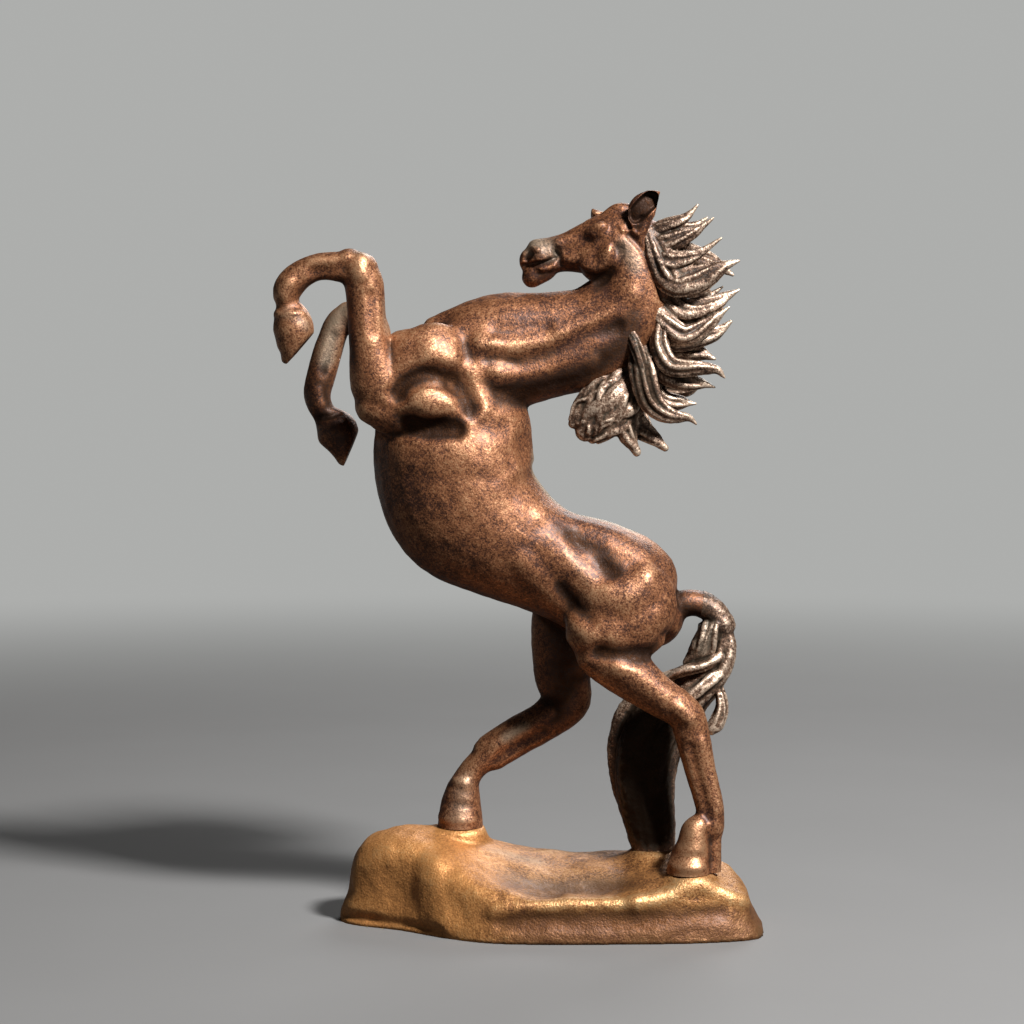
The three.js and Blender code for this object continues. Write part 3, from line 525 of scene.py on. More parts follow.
# Strokes on the profile: the neck, back and flank have the same ones on both sides
TRUNK_STROKES = [
    (4.6, -0.8, [(-7, 191), (-0.5, 190.5), (7.5, 191)]),
    (4.8, 0.65, [(-13, 185.5), (-3, 185.5), (7.5, 188.5), (18, 191.5), (28.5, 196.5), (35.5, 201)]),
    (4.2, -0.95, [(-9, 182), (-1.5, 180.5), (7.5, 182), (15, 186), (22, 189.5), (30, 192)]),
    (4.8, 0.6, [(-7, 177.5), (1, 176.5), (11, 178.5), (22, 181)]),
    (5, 0.9, [(-12, 187), (-9.5, 186)]),
    (7, 1.0, [(-12, 178), (-7, 177.5)]),
    (8, 1.0, [(31, 213), (34, 206)]),
    (7.5, 0.9, [(-27, 184.5), (-22, 183)]),
    (4.4, -0.5, [(-17, 185), (-13, 180.5), (-10.5, 176)]),
    (5.2, -2.0, [(-38, 171), (-35, 174.6), (-29, 177), (-22.5, 175.6), (-18, 171), (-15.6, 166.5)]),
    (6, 0.7, [(-21, 180), (-16, 174.5), (-12.5, 167)]),
    (8, 1.4, [(-31.4, 169), (-26.5, 169), (-21.5, 167)]),
    (5.4, -2.0, [(-33, 162), (-28.3, 160), (-20.6, 160.2)]),
    (8, 0.8, [(-36, 152), (-24, 152), (-10, 151.5)]),
    (5, -0.6, [(-11, 160.5), (-6, 159.5)]),
    (4.2, -0.8, [(1, 156), (4, 147), (9.5, 140.5), (18, 136), (26.5, 133)]),
    (5.5, 0.9, [(7.6, 132.6), (18, 130), (28, 127), (37.5, 120.5), (39.7, 115)]),
    (5, -0.9, [(17.5, 126), (23, 123), (28, 116.5)]),
    (5.6, -0.9, [(19, 121.5), (24.5, 117)]),
    (7.5, 1.1, [(10, 124), (15.2, 118), (22.8, 109.8), (32, 107.5), (39, 112)]),
    (4.4, -0.6, [(13, 110), (16.5, 106), (21, 100)]),
    (5.6, 1.0, [(1, 118), (7, 110), (11, 105), (16, 99.5), (21, 94)]),
    (7, 0.9, [(21, 97), (28, 96)]),
    (6, 0.7, [(37, 98), (43, 100)]),
]
NEAR_SIDE = TRUNK_STROKES + [
    (4.6, -1.4, [(25, 90.5), (34.5, 89), (41, 89.5), (46, 93)]),
    (5, 0.8, [(13.5, 93), (18.5, 87)]),
    (5, 0.8, [(31, 85), (38, 81), (45, 76)]),
    (3.6, 1.0, [(49.5, 72.5), (53, 69)]),
    (2.4, -0.8, [(53.5, 60), (56.5, 48), (59, 38)]),
    (2.4, 0.6, [(57.5, 62), (61, 50), (63, 40)]),
]
FAR_SIDE = TRUNK_STROKES + [
    (5, 0.8, [(14, 96), (18, 88)]),
    (3, -0.8, [(12, 66), (3, 61.5), (-6, 56.5)]),
    (3.6, 0.9, [(16, 73), (13.5, 68)]),
]
# Strokes in space: the line of the chest first, then the legs
LEG_STROKES = [
    (5, 1.5, [(-44, -11, 158.5), (-45, 0, 159.5), (-44, 11, 158.5)]),
    (7, -1.8, [(-37, -13, 191.5), (-31, -12, 194.5), (-25, -9, 196)]),
    (7, -1.8, [(-37, 13, 191.5), (-31, 12, 194.5), (-25, 9, 196)]),
    (6, -1.2, [(-35, -8, 192), (-35, 8, 192)]),
    (5, 1.6, [(-42.5, -14, 190.5), (-38.5, -14, 189.5)]),
    (5, 1.6, [(-42.5, 14, 190.5), (-38.5, 14, 189.5)]),
    (4, 1.0, [(-49, -20, 213.5), (-49.5, -20, 208)]),
    (3, -0.8, [(-55, -19.6, 209.5), (-64, -19.6, 208.5)]),
    (3, 0.5, [(-54, -19.6, 214), (-65, -19.6, 212.5)]),
    (3.4, 0.7, [(-72, -19.5, 205), (-73.4, -19, 202)]),
    (2.2, -0.5, [(-76.5, -15, 198.5), (-74, -20, 198), (-69, -19, 198)]),
    (1.8, 0.5, [(-77, -15, 195.8), (-74, -20.5, 195.5), (-67, -19, 196)]),
    (2.6, -0.9, [(-68, -15, 186.6), (-70.8, -15, 183.4)]),
    (3, -0.6, [(-45.6, -21, 190), (-46, -21, 201)]),
    (3.4, 0.6, [(-53, 12, 199), (-55, 11.5, 196)]),
    (2.6, -0.8, [(-60, 12, 189), (-63.5, 12, 178)]),
    (3, 0.7, [(-66, 13, 171.5), (-65, 13, 167.5)]),
    (2.0, -1.0, [(-66, 14, 162.5), (-62, 11.5, 163.5), (-58, 13, 165)]),
    (2.6, -0.8, [(-53.4, 17, 156), (-55, 17, 152)]),
    (3, -0.9, [(8, 7, 61.5), (-1.6, 6.7, 56.5), (-8, 6.5, 52)]),
    (3, 0.8, [(10, 7.5, 68), (0, 7, 62.5), (-8, 7, 57.5)]),
    (2.6, 0.9, [(-17.5, 6.5, 44.5), (-22, 8, 46)]),
    (2.4, -0.5, [(-25, 10, 38.5), (-20, 5, 38), (-14, 6, 37.5)]),
    (2.4, 0.5, [(-27, 10, 33.6), (-20, 4.2, 33), (-12, 6, 33)]),
    (2.2, -0.5, [(46.5, -16, 27.5), (50, -21.8, 26.5), (57, -20.8, 26)]),
    (2.2, 0.7, [(45.5, -16, 23.4), (50, -22.6, 22.8), (58, -21.2, 22.6)]),
]
# Strokes in space that both sides of the head have, and then the near side's own
HEAD_STROKES = [
    (2.4, 0.8, [(12, -4.6, 219), (17, -5.8, 221.5), (22, -7, 223), (26, -8.4, 224)]),
    (2.6, -0.8, [(12, -5, 214.8), (17, -6.3, 216.6), (21.5, -7.6, 219)]),
    (1.9, -1.5, [(11.2, -5, 216), (12, -5.6, 213.5), (12.8, -5, 211)]),
    (3.6, 0.8, [(16, -6.5, 212), (20, -7.5, 210), (25, -8.4, 211), (27.5, -9, 215)]),
    (1.7, -1.4, [(20.5, -6.8, 226), (22.8, -7, 226.4)]),
    (1.4, 0.9, [(19.2, -5.6, 226), (21.8, -6.4, 227.6), (24.4, -6.4, 227.6)]),
    (1.8, 1.2, [(24.6, -6.6, 227.4), (27, -6.6, 227.6)]),
    (1.0, 0.9, [(21.8, -7.4, 225.8), (22.1, -7.4, 226)]),
    (1.9, -2.2, [(1.6, -4.4, 213), (2.8, -5, 215)]),
    (1.4, 0.9, [(0.6, -3.2, 215.2), (3, -4.4, 217.4), (5.6, -5.6, 216)]),
    (1.5, -1.6, [(0, -2.5, 211), (4.8, -5, 211.4), (8, -5.4, 211.8), (10.6, -5, 213)]),
    (1.6, 0.8, [(5, -5, 209.6), (8.6, -4.6, 210.2), (10.6, -4, 211)]),
]
NEAR_HEAD_STROKES = [
    (1.3, -1.5, [(33.3, -7.5, 228.5), (32.6, -8.8, 225.6), (34, -9.4, 222.6)]),
    (1.4, 0.9, [(31, -7.4, 229), (30.2, -8.6, 225.4), (32.2, -9.4, 222)]),
    (2.4, -1.2, [(36.6, -10.5, 222.5), (38.5, -10.6, 225)]),
    (3, -1.2, [(20.5, -6.5, 208), (25, -7.5, 206.8), (29, -8.5, 210.5), (30.5, -9, 216)]),
]
# Creases between forms that are softened: a point, how far around it and how many rounds
CREASES = [
    ((4, -9, 152), 10, 24), ((4, 0, 152), 10, 24), ((4, 9, 152), 10, 24),
    ((-44, -9, 158), 8, 8), ((-44, 0, 158), 8, 8), ((-44, 9, 158), 8, 8),
    ((46, 0, 92), 12, 14),
    ((33, -7, 125), 8, 12), ((-16.5, -11, 196), 10, 24), ((15, -10, 104), 9, 12),
    ((33, 7, 125), 8, 12), ((-16.5, 11, 196), 10, 24), ((15, 10, 104), 9, 12),
]
SHOULDER_TOPS = [((-16, -10, 194.5), 9, 14), ((-16, 10, 194.5), 9, 14)]
# The soles of the lifted hooves: a point, the way a sole faces and how far it reaches
SOLES = [((-69.2, -15, 184.4), (0.752, 0, -0.659), 11), ((-54.4, 17, 154), (0.92, 0, -0.39), 10)]
# The cup of the near ear: its middle line, how wide it opens and how deep it goes
EAR_CUP = ([(36.4, -11, 226.8), (38.6, -11.4, 229.4), (41.2, -10.4, 231.6)], 3.3, 3.6)
# Darker patina and painted shade (below 0), rubbed wear and painted highlights (above): a line, how far
# from it and how much
STAINS_AND_PAINTED_LIGHT = [
    # Darker patina with painted shade in the ear's cup, the nostril and the mouth
    ([(36.6, -7.2, 226), (38.6, -7.8, 229.4), (41, -6.8, 231.4)], 5.6, -1.2),
    ([(1.6, -4.4, 213.2), (2.6, -4.8, 215)], 2.4, -1),
    ([(0, -2.5, 211), (4.8, -5, 211.4), (10.6, -5, 213)], 1.8, -0.8),
    # Painted shade under the jaw and the chin
    ([(15, -7, 208.5), (24, -9, 206)], 6.5, -0.6),
    ([(3.5, -3, 207), (9, -4, 208)], 4.2, -0.4),
    # Painted highlights on the cheek and the near hind hoof
    ([(18, -7, 215), (26, -9, 214)], 6, 0.2),
    ([(54.2, -20, 34), (52.6, -22.5, 24)], 7, 0.8),
    # Painted shade under the neck, around and under the upper arm, under the chest and belly, and on the
    # near foreleg's shaded edge and underside
    ([(-6, -11, 171), (12, -10, 174), (28, -9, 184), (34, -9, 193)], 9, -0.5),
    (
        [(-38, -17, 171), (-35, -19, 174.6), (-29, -20, 177), (-22.5, -20, 175.6), (-15.6, -19, 166.5)],
        5, -0.45,
    ),
    ([(-36, -17, 162.5), (-28.3, -18, 160.5), (-20.6, -19, 160.2)], 6.5, -0.65),
    ([(-46, 0, 150), (-41, 0, 133), (-30, 0, 117), (-12, 0, 106), (8, 0, 100)], 15, -0.35),
    ([(-52, -18, 200), (-52.5, -18, 186), (-47, -19, 176)], 4, -0.45),
    ([(-68, -17, 204), (-62, -17, 205.6), (-54, -17, 206)], 4, -0.45),
    # A painted cast shadow on the far foreleg's lower part
    ([(-63, 12, 176), (-65, 12, 170), (-58, 12, 156)], 8, -0.6),
    # Painted shade in the hip hollow, the flank groove and under the buttock
    ([(12.7, -13, 128.4), (23.7, -15, 124.2), (29.6, -16, 114.9)], 6, -0.42),
    ([(13, -15, 110), (16.5, -16, 106), (21, -16, 100)], 5, -0.35),
    ([(26, -17, 90), (35, -17, 88.5), (43, -12, 90)], 5.5, -0.45),
    # A painted cast shadow on the far thigh
    ([(20, 4, 100), (14, 4, 82), (12, 5, 68)], 12, -0.5),
    # Darker where the torso meets the tail
    ([(58, 0, 103), (53, 0, 103)], 9, -0.9),
    # A painted highlight on the haunch
    ([(22, -17, 107), (34, -17, 106)], 10, 0.25),
]
# Darker at the dock, and a painted cast shadow on the front of the tail's fall
TAIL_STAINS_AND_PAINTED_SHADOW = [
    ([(59, 0, 103), (58, 0, 103)], 9, -0.2),
    ([(40, -2, 62), (40, -2, 46), (42, -2, 34)], 13, -0.8),
]
# Painted shade on the middle of the top and along the front's low band, darker on the low left front, and
# painted highlights along the front ridges
ROCK_STAINS_AND_PAINTED_LIGHT = [
    ([(-4, -16, 19), (12, -14, 15.5), (36, -14, 14)], 13, -0.4),
    ([(-2, -28, 6), (20, -28.5, 6), (45, -27.5, 6), (62, -24, 7)], 8, -0.5),
    ([(-45, -8, 14), (-38, -12, 8)], 10, -0.3),
    ([(40, -24, 15), (56, -22, 17.4), (68, -20, 14)], 5, 0.4),
    ([(8, -26, 12.2), (32, -26, 12.6)], 3, 0.4),
]
# A painted pale grey-green sheen and painted highlights where the light falls brightest: a line, how far
# from it and how much
PAINTED_SHEENS = [
    ([(4.5, -2, 217.5), (9.5, -2, 216)], 7.5, 0.75),
    ([(32.5, -9, 217), (36, -10, 211)], 6, 0.5),
    ([(-48, -17, 214.5), (-51, -17, 213)], 4.5, 0.6),
    ([(-72, -19, 195.5), (-67, -19, 192)], 4.5, 0.5),
    ([(-56, 11, 201), (-60.5, 11.5, 192), (-62.5, 11.5, 182)], 7, 0.7),
    ([(-42.5, -17, 199), (-41.5, -17, 190)], 3.5, 0.4),
    ([(-15.5, -11, 187), (-9.5, -13, 178.5)], 5, 0.4),
    ([(2, 0, 150), (8, 0, 140.5), (20, 0, 134.5), (35, 0, 128)], 8, 0.8),
    ([(15, -17, 122), (22.6, -17, 110.5), (32.6, -17, 108), (38.5, -14, 113)], 4, 0.35),
    ([(-4, 6, 60), (1, 6, 63)], 5, 0.6),
    ([(-18, 6, 46), (-20, 5, 34)], 8, 0.45),
]
# Painted shade on the lower locks of the mane
MANE_PAINTED_SHADE = [([(36, -9, 190), (38, -10, 178), (41, -10, 170)], 8, -0.25)]
# Painted sheen on the tail's fluff and on the top of the rock
TAIL_PAINTED_SHEENS = [([(60, -3, 96), (57, -4, 90)], 6, 0.7)]
ROCK_PAINTED_SHEENS = [([(-8, 4, 25), (5, 6, 18)], 8, 0.5), ([(-2, -8, 18), (30, -8, 14)], 12, 0.4)]
# The groove where the mane leaves the neck
CREST_STROKES = [
    (
        1.9, -1.5,
        [(34.2, -9.5, 220.6), (37.9, -10, 216.7), (40.6, -10, 212.1), (43, -9, 206.8), (45, -7, 201)],
    ),
]


FORMS = [
    BARREL, LOWER_NECK, UPPER_NECK, SKULL, CHIN, FORELOCK, NEAR_EAR, FAR_EAR, TAIL_DOCK,
    NEAR_FOREARM, NEAR_FORE_CANNON, NEAR_FORE_HOOF, FAR_FOREARM, FAR_FORE_CANNON, FAR_FORE_HOOF,
    NEAR_GASKIN, NEAR_HIND_PASTERN, NEAR_HIND_HEEL, FAR_GASKIN, FAR_HIND_PASTERN,
]
PAIRED_FORMS = [SHOULDER, UPPER_ARM, ELBOW, HAUNCH, CHEEK, BROW]


def horse_skin():
    bm = bmesh.new()
    for form in FORMS:
        sweep(bm, form)
    for form in PAIRED_FORMS:
        sweep(bm, form)
        sweep(bm, mirrored(form))
    skin = fused(bm, SKIN_VOXEL, 6)
    for crease in CREASES:
        soften(skin, *crease)
    place, normal = skin_arrays(skin)
    for sole in SOLES:
        place = flatten(place, *sole)
    place = carve(place, normal, NEAR_SIDE, -1)
    place = carve(place, normal, FAR_SIDE, 1)
    place = dig(place, normal, LEG_STROKES + CREST_STROKES)
    put_back(skin, roughen(place, normal, 6, 0.14))
    for top in SHOULDER_TOPS:
        soften(skin, *top)
    smooth(skin, skin.verts, 0.4)
    carve_head(skin)
    mark_wear(skin, STAINS_AND_PAINTED_LIGHT, PAINTED_SHEENS)
    return skin


def carve_head(bm):
    """Gives the head a finer skin and cuts its features in."""
    place, _ = skin_arrays(bm)
    head = beyond(place, HEAD_SEAM) & beyond(place, THROAT_SEAM) & (place[:, 0] > -6)
    bm.verts.index_update()
    edges = [e for e in bm.edges if head[e.verts[0].index] and head[e.verts[1].index]]
    bmesh.ops.subdivide_edges(bm, edges=edges, cuts=1, use_grid_fill=True)
    place, normal = skin_arrays(bm)
    far_strokes = []
    for reach, height, path in HEAD_STROKES:
        far_strokes.append((reach, height, [(x, -y, z) for x, y, z in path]))
    place = dig(place, normal, HEAD_STROKES + NEAR_HEAD_STROKES + far_strokes)
    line, reach, depth = EAR_CUP
    share = distance_to(line, place) / reach
    place[:, 1] += np.where(share < 1, 1 - share**6, 0) * depth
    put_back(bm, place)


def horse_castings():
    """The horse's castings, parted along their seams."""
    skin = horse_skin()
    for seam, reach in (
        (NECK_SEAM, 24),
        (HEAD_SEAM, 16),
        (THROAT_SEAM, 16),
        (NEAR_FORE_SEAM, 11),
        (FAR_FORE_SEAM, 11),
        (NEAR_HIND_SEAM, 13),
        (FAR_HIND_SEAM, 15),
        (TAIL_SEAM, 9),
    ):
        scribe(skin, seam, reach)
    names = [
        "torso_casting", "neck_casting", "head_casting", "near_foreleg", "far_foreleg", "near_hind_leg",
        "far_hind_leg",
    ]
    limbs = [
        (3, NEAR_FORE_SEAM, NEAR_FOREARM[2:] + NEAR_FORE_CANNON + NEAR_FORE_HOOF, 10.5),
        (4, FAR_FORE_SEAM, FAR_FOREARM[2:] + FAR_FORE_CANNON + FAR_FORE_HOOF, 10),
        (5, NEAR_HIND_SEAM, NEAR_GASKIN[3:] + NEAR_HIND_PASTERN, 15),
        (6, FAR_HIND_SEAM, FAR_GASKIN[2:] + FAR_HIND_PASTERN, 16),
    ]

    def label(centres):
        x, y, z = centres.T
        labels = np.zeros(len(centres), int)
        labels[beyond(centres, NECK_SEAM) & (z > 163)] = 1
        labels[beyond(centres, HEAD_SEAM) & beyond(centres, THROAT_SEAM) & (x > -6)] = 2
        for number, seam, stations, reach in limbs:
            near = distance_to([row[:3] for row in stations], centres) < reach
            labels[beyond(centres, seam) & near] = number
        labels[beyond(centres, TAIL_SEAM) & (z > 85) & (z < 120)] = DROPPED
        return labels

    return parted(skin, names, label)


def stand(bm, pad):
    """Cuts a foot flat where it stands, a little into its pad, and closes it."""
    everything = bm.verts[:] + bm.edges[:] + bm.faces[:]
    point = Vector((0, 0, pad * MM - FOOT_OVERLAP * MM))
    down = (0, 0, -1)
    bmesh.ops.bisect_plane(bm, geom=everything, dist=1e-7, plane_co=point, plane_no=down, clear_outer=True)
    close_ends(bm)


# Hair

def thinner(stations, share):
    return [(x, y, z, deep * share, wide * share) for x, y, z, deep, wide in stations]


def strands_of(lock, count, turn, seed, share, spread):
    """Strands that lie on a lock, wind along it and gather at both its ends."""
    rows = curve_through(lock, 2)
    tangents = np.gradient(rows[:, :3], axis=0)
    strands = []
    for k in range(count):
        size = share * (1 + 0.3 * math.sin(2.3 * k + 1.7 * seed))
        strand = []
        for i, (x, y, z, deep, wide) in enumerate(rows):
            t = i / (len(rows) - 1)
            angle = 2 * math.pi * (k + 0.37 * seed) / count + turn * t + 0.2 * math.sin(5 * t + 2 * k)
            along, across, inward = axes_along(tangents[i])
            out = spread * (1 - t**5) * min(1, 0.5 + 3 * t)
            place = Vector((x, y, z)) + across * wide * out * math.sin(angle)
            place += inward * deep * out * math.cos(angle)
            strand.append((*place, deep * size, wide * size))
        strands.append(strand)
    return strands


def sweep_lock(bm, lock, seed, core=0.74, count=8, turn=0.8, share=0.25, spread=0.76):
    sweep(bm, thinner(lock, core), sides=18, per_span=4)
    for strand in strands_of(lock, count, turn if seed % 2 else -turn, seed, share, spread):
        sweep(bm, strand, sides=12, per_span=3)


def rooted(lock):
    """The lock with a deeper root, which melts into the ones beside it."""
    last = len(lock) - 1
    shares = [1 + 0.55 * (1 - i / last) ** 1.5 for i in range(len(lock))]
    return [(x, y, z, deep * share, wide) for share, (x, y, z, deep, wide) in zip(shares, lock)]


def curls_on(locks, count, seed, arcs, drifts, thickness):
    """Short thin curls on locks, for a shaggy knot of hair."""
    turns = np.random.default_rng(seed)
    curls = []
    for _ in range(count):
        rows = curve_through(locks[turns.integers(len(locks))], 3)
        rows = rows[rows[:, 3] > 1.6]
        tangents = np.gradient(rows[:, :3], axis=0)
        start = turns.uniform(0, 2 * math.pi)
        arc = turns.uniform(*arcs) * turns.choice([-1, 1])
        thick = turns.uniform(*thickness)
        first = turns.uniform(-0.1, 0.9) * len(rows)
        step = turns.uniform(*drifts) / max(np.linalg.norm(tangents, axis=1).mean(), 0.1)
        curl = []
        for t in np.linspace(0, 1, 6):
            i = int(np.clip(first + step * t, 0, len(rows) - 1))
            share = np.clip(first + step * t - i, 0, 1)
            x, y, z, deep, wide = rows[i] + (rows[min(i + 1, len(rows) - 1)] - rows[i]) * share
            _, across, inward = axes_along(tangents[i])
            out = 0.93 + 0.09 * math.sin(math.pi * t) - 0.08 * t
            a = start + arc * t + 0.12 * math.sin(9 * t)
            place = Vector((x, y, z)) + across * (wide * out * math.sin(a))
            place += inward * (deep * out * math.cos(a))
            size = thick * (1 - 0.7 * t**2)
            curl.append((*place, size, size))
        if np.linalg.norm(np.array(curl[0]) - curl[-1]) > 1.5:
            curls.append(curl)
    return curls


def tail_castings():
    bm = bmesh.new()
    sweep(bm, TAIL_DOCK)
    sweep_lock(bm, TAIL, 2, core=0.82, count=9, turn=1.7, share=0.28, spread=0.74)
    sweep_lock(bm, TAIL_CURL, 3)
    for number, fold in enumerate(TAIL_FOLDS):
        sweep_lock(bm, fold, number, count=4, share=0.42, spread=0.55)
    sweep_lock(bm, TAIL_FLUFF, 5, core=0.92, count=9, turn=1.4, share=0.2, spread=0.9)
    skin = fused(bm, HAIR_VOXEL, 2)
    place, normal = skin_arrays(skin)
    put_back(skin, roughen(place, normal, 5, 0.3, seed=3))
    mark_wear(skin, TAIL_STAINS_AND_PAINTED_SHADOW, TAIL_PAINTED_SHEENS)
    scribe(skin, TAIL_SEAM, 9)
    scribe(skin, TAIL_FALL_SEAM, 20)

    def label(centres):
        labels = np.zeros(len(centres), int)
        labels[beyond(centres, TAIL_FALL_SEAM)] = 1
        labels[~beyond(centres, TAIL_SEAM) & (centres[:, 2] > 92)] = DROPPED
        return labels

    return parted(skin, ["tail_arch", "tail_fall"], label)


def mane_casting(name):
    bm = bmesh.new()
    for number, lock in enumerate(MANE[name]):
        sweep_lock(bm, rooted(lock), number)
    if name == "mane_tuft":
        sweep_lock(bm, MANE[name][0], 1, core=0.86, count=15, turn=2, share=0.14, spread=0.9)
        for curl in curls_on(MANE[name][:3], 110, 11, (0.1, 0.5), drifts=(5, 11), thickness=(0.5, 0.7)):
            sweep(bm, curl, sides=8, per_span=2)
    skin = fused(bm, 0.85 * HAIR_VOXEL, 1)
    place, normal = skin_arrays(skin)
    put_back(skin, roughen(place, normal, 3, 0.12, seed=len(name)))
    mark_wear(skin, MANE_PAINTED_SHADE)
    return skin


# The rock base

ROCK_STROKES = [
    (3.8, 1.0, [(-8, -25, 9.8), (4, -27, 11.8), (14.7, -26, 12.4), (25.4, -26, 12.6), (36, -26, 12.6)]),
    (4.4, 1.2, [(36, -26, 12.6), (47, -24, 15.5), (56.6, -22, 17.4), (67.4, -21, 13.9), (72, -18, 12)]),
    (
        4.4, -0.8,
        [(-6, -28, 6.8), (6, -28.5, 7.5), (25, -28.5, 7.5), (38, -28, 7.5), (50, -27, 9), (63, -24.5, 9)],
    ),
    (11, -1.2, [(0, -12, 16), (14, -14, 15), (30, -16, 14.5)]),
    (8, 1.4, [(-27.5, -10, 21), (-30, -15, 12), (-24, -18, 5)]),
    (8, -0.3, [(-42, -6, 17), (-38, -9, 9)]),
    (6, 1.2, [(-56, 2, 16), (-52, -1, 20), (-44, -4, 24)]),
    (3.6, -1.5, [(-58, 4, 2), (-48, -4, 2), (-36, -11, 1.5), (-25, -18, 1)]),
    (6, -1.0, [(10, -20, 15), (2, -21, 14)]),
    (8, 1.0, [(-52, 14, 14), (-30, 24, 12), (0, 27, 8)]),
    (8, -1.2, [(10, 27, 8), (35, 27, 9), (60, 22, 8)]),
]


def rock_skin():
    source = bmesh.new()
    source.from_mesh(frame["nodes"]["base_casting"].data)
    bmesh.ops.remove_doubles(source, verts=source.verts, dist=1e-6)
    skin = fused(source, ROCK_VOXEL, 0)
    place, normal = skin_arrays(skin)
    outside = open_to_air(skin, place, normal)
    mean = neighbours_of(skin)
    for _ in range(3):
        outside = mean(outside[:, None])[:, 0]
    outside *= np.clip((place[:, 2] - 0.5) / 1.5, 0, 1)
    for _ in range(ROCK_ROUNDS):
        place = place + (mean(place) - place) * outside[:, None] * 0.6
    around = np.zeros(len(place))
    for foot in FEET:
        away = np.linalg.norm(place[:, :2] - foot, axis=1)
        ring = np.clip((away - 7.8) / 1.5, 0, 1) * np.clip((16 - away) / 4, 0, 1)
        around = np.maximum(around, ring)
    for _ in range(PAD_ROUNDS):
        place = place + (mean(place) - place) * (outside * around)[:, None] * 0.7
    put_back(skin, place)
    _, normal = skin_arrays(skin)
    carved = dig(place, normal, ROCK_STROKES)
    carved = roughen(carved, normal, 12, 0.4, seed=5)
    carved = roughen(carved, normal, 3, 0.07, seed=8)
    place = place + (carved - place) * outside[:, None]
    place[:, 2] = np.where(place[:, 2] < 0.45, 0, place[:, 2])
    put_back(skin, place)
    mark_wear(skin, ROCK_STAINS_AND_PAINTED_LIGHT, ROCK_PAINTED_SHEENS)
    return skin


def open_to_air(bm, place, normal):
    """1 for each vertex on the outside of the rock and 0 for each in its hollow."""
    tree = BVHTree.FromBMesh(bm)
    middle = np.clip(place[:, 0], -45, 62)
    outward = np.stack([place[:, 0] - middle, place[:, 1], np.full(len(place), 1.0)], axis=1)
    out = []
    for p, n, way in zip(place, normal, outward):
        start = Vector(p + n * 0.2) * MM
        out.append(tree.ray_cast(start, Vector(way).normalized())[0] is None)
    return np.array(out, float)


# Finishes

class Field:
    """A socket of a shader. Operators on it add Math nodes."""

    def __init__(self, finish, socket):
        self.finish = finish
        self.socket = socket

    def maths(self, operation, a, b):
        return self.finish.node("ShaderNodeMath", {"operation": operation}, {0: a, 1: b})

    def __add__(self, other):
        return self.maths("ADD", self, other)

    def __sub__(self, other):
        return self.maths("SUBTRACT", self, other)

    def __mul__(self, other):
        return self.maths("MULTIPLY", self, other)

    def __rsub__(self, other):
        return self.maths("SUBTRACT", other, self)

    __radd__ = __add__
    __rmul__ = __mul__


class Finish:
    """A material whose nodes are made one call at a time."""

    def __init__(self, name, **constants):
        self.material = bpy.data.materials.new(name)
        self.material.use_nodes = True
        self.tree = self.material.node_tree
        self.shader = self.tree.nodes["Principled BSDF"]
        for name, value in constants.items():
            self.shader.inputs[name.replace("_", " ").title()].default_value = value
        self.place = self.node("ShaderNodeTexCoord", output="Object")

    def node(self, kind, settings=None, inputs=None, output=0):
        made = self.tree.nodes.new(kind)
        for key, value in (settings or {}).items():
            setattr(made, key, value)
        for key, value in (inputs or {}).items():
            self.feed(made.inputs[key], value)
        return Field(self, made.outputs[output])

    def feed(self, socket, value):
        if isinstance(value, Field):
            self.tree.links.new(value.socket, socket)
        else:
            socket.default_value = value

    def surface(self, **values):
        for name, value in values.items():
            self.feed(self.shader.inputs[name.replace("_", " ").title()], value)
        return self.material

    def noise(self, scale, detail, roughness=0.55):
        inputs = {"Vector": self.place, "Scale": scale, "Detail": detail, "Roughness": roughness}
        return self.node("ShaderNodeTexNoise", None, inputs)

    def attribute(self, name):
        return self.node("ShaderNodeAttribute", {"attribute_name": name}, output="Fac")

    def split(self, vector):
        """A vector's three parts."""
        parts = self.node("ShaderNodeSeparateXYZ", None, {0: vector})
        return [Field(self, socket) for socket in parts.socket.node.outputs]

    def step(self, value, low, high):
        """0 up to low, 1 from high on and soft between them."""
        inputs = {"Value": value, "From Min": low, "From Max": high}
        return self.node("ShaderNodeMapRange", {"interpolation_type": "SMOOTHSTEP"}, inputs)

    def blend(self, share, a, b):
        """A colour that goes from a to b."""
        inputs = {0: share, 6: opaque(a), 7: opaque(b)}
        return self.node("ShaderNodeMix", {"data_type": "RGBA"}, inputs, output=2)

    def bump(self, height, distance, strength):
        inputs = {"Height": height, "Distance": distance * MM, "Strength": strength}
        return self.node("ShaderNodeBump", None, inputs)


def opaque(colour):
    return colour if isinstance(colour, Field) else (*colour, 1)


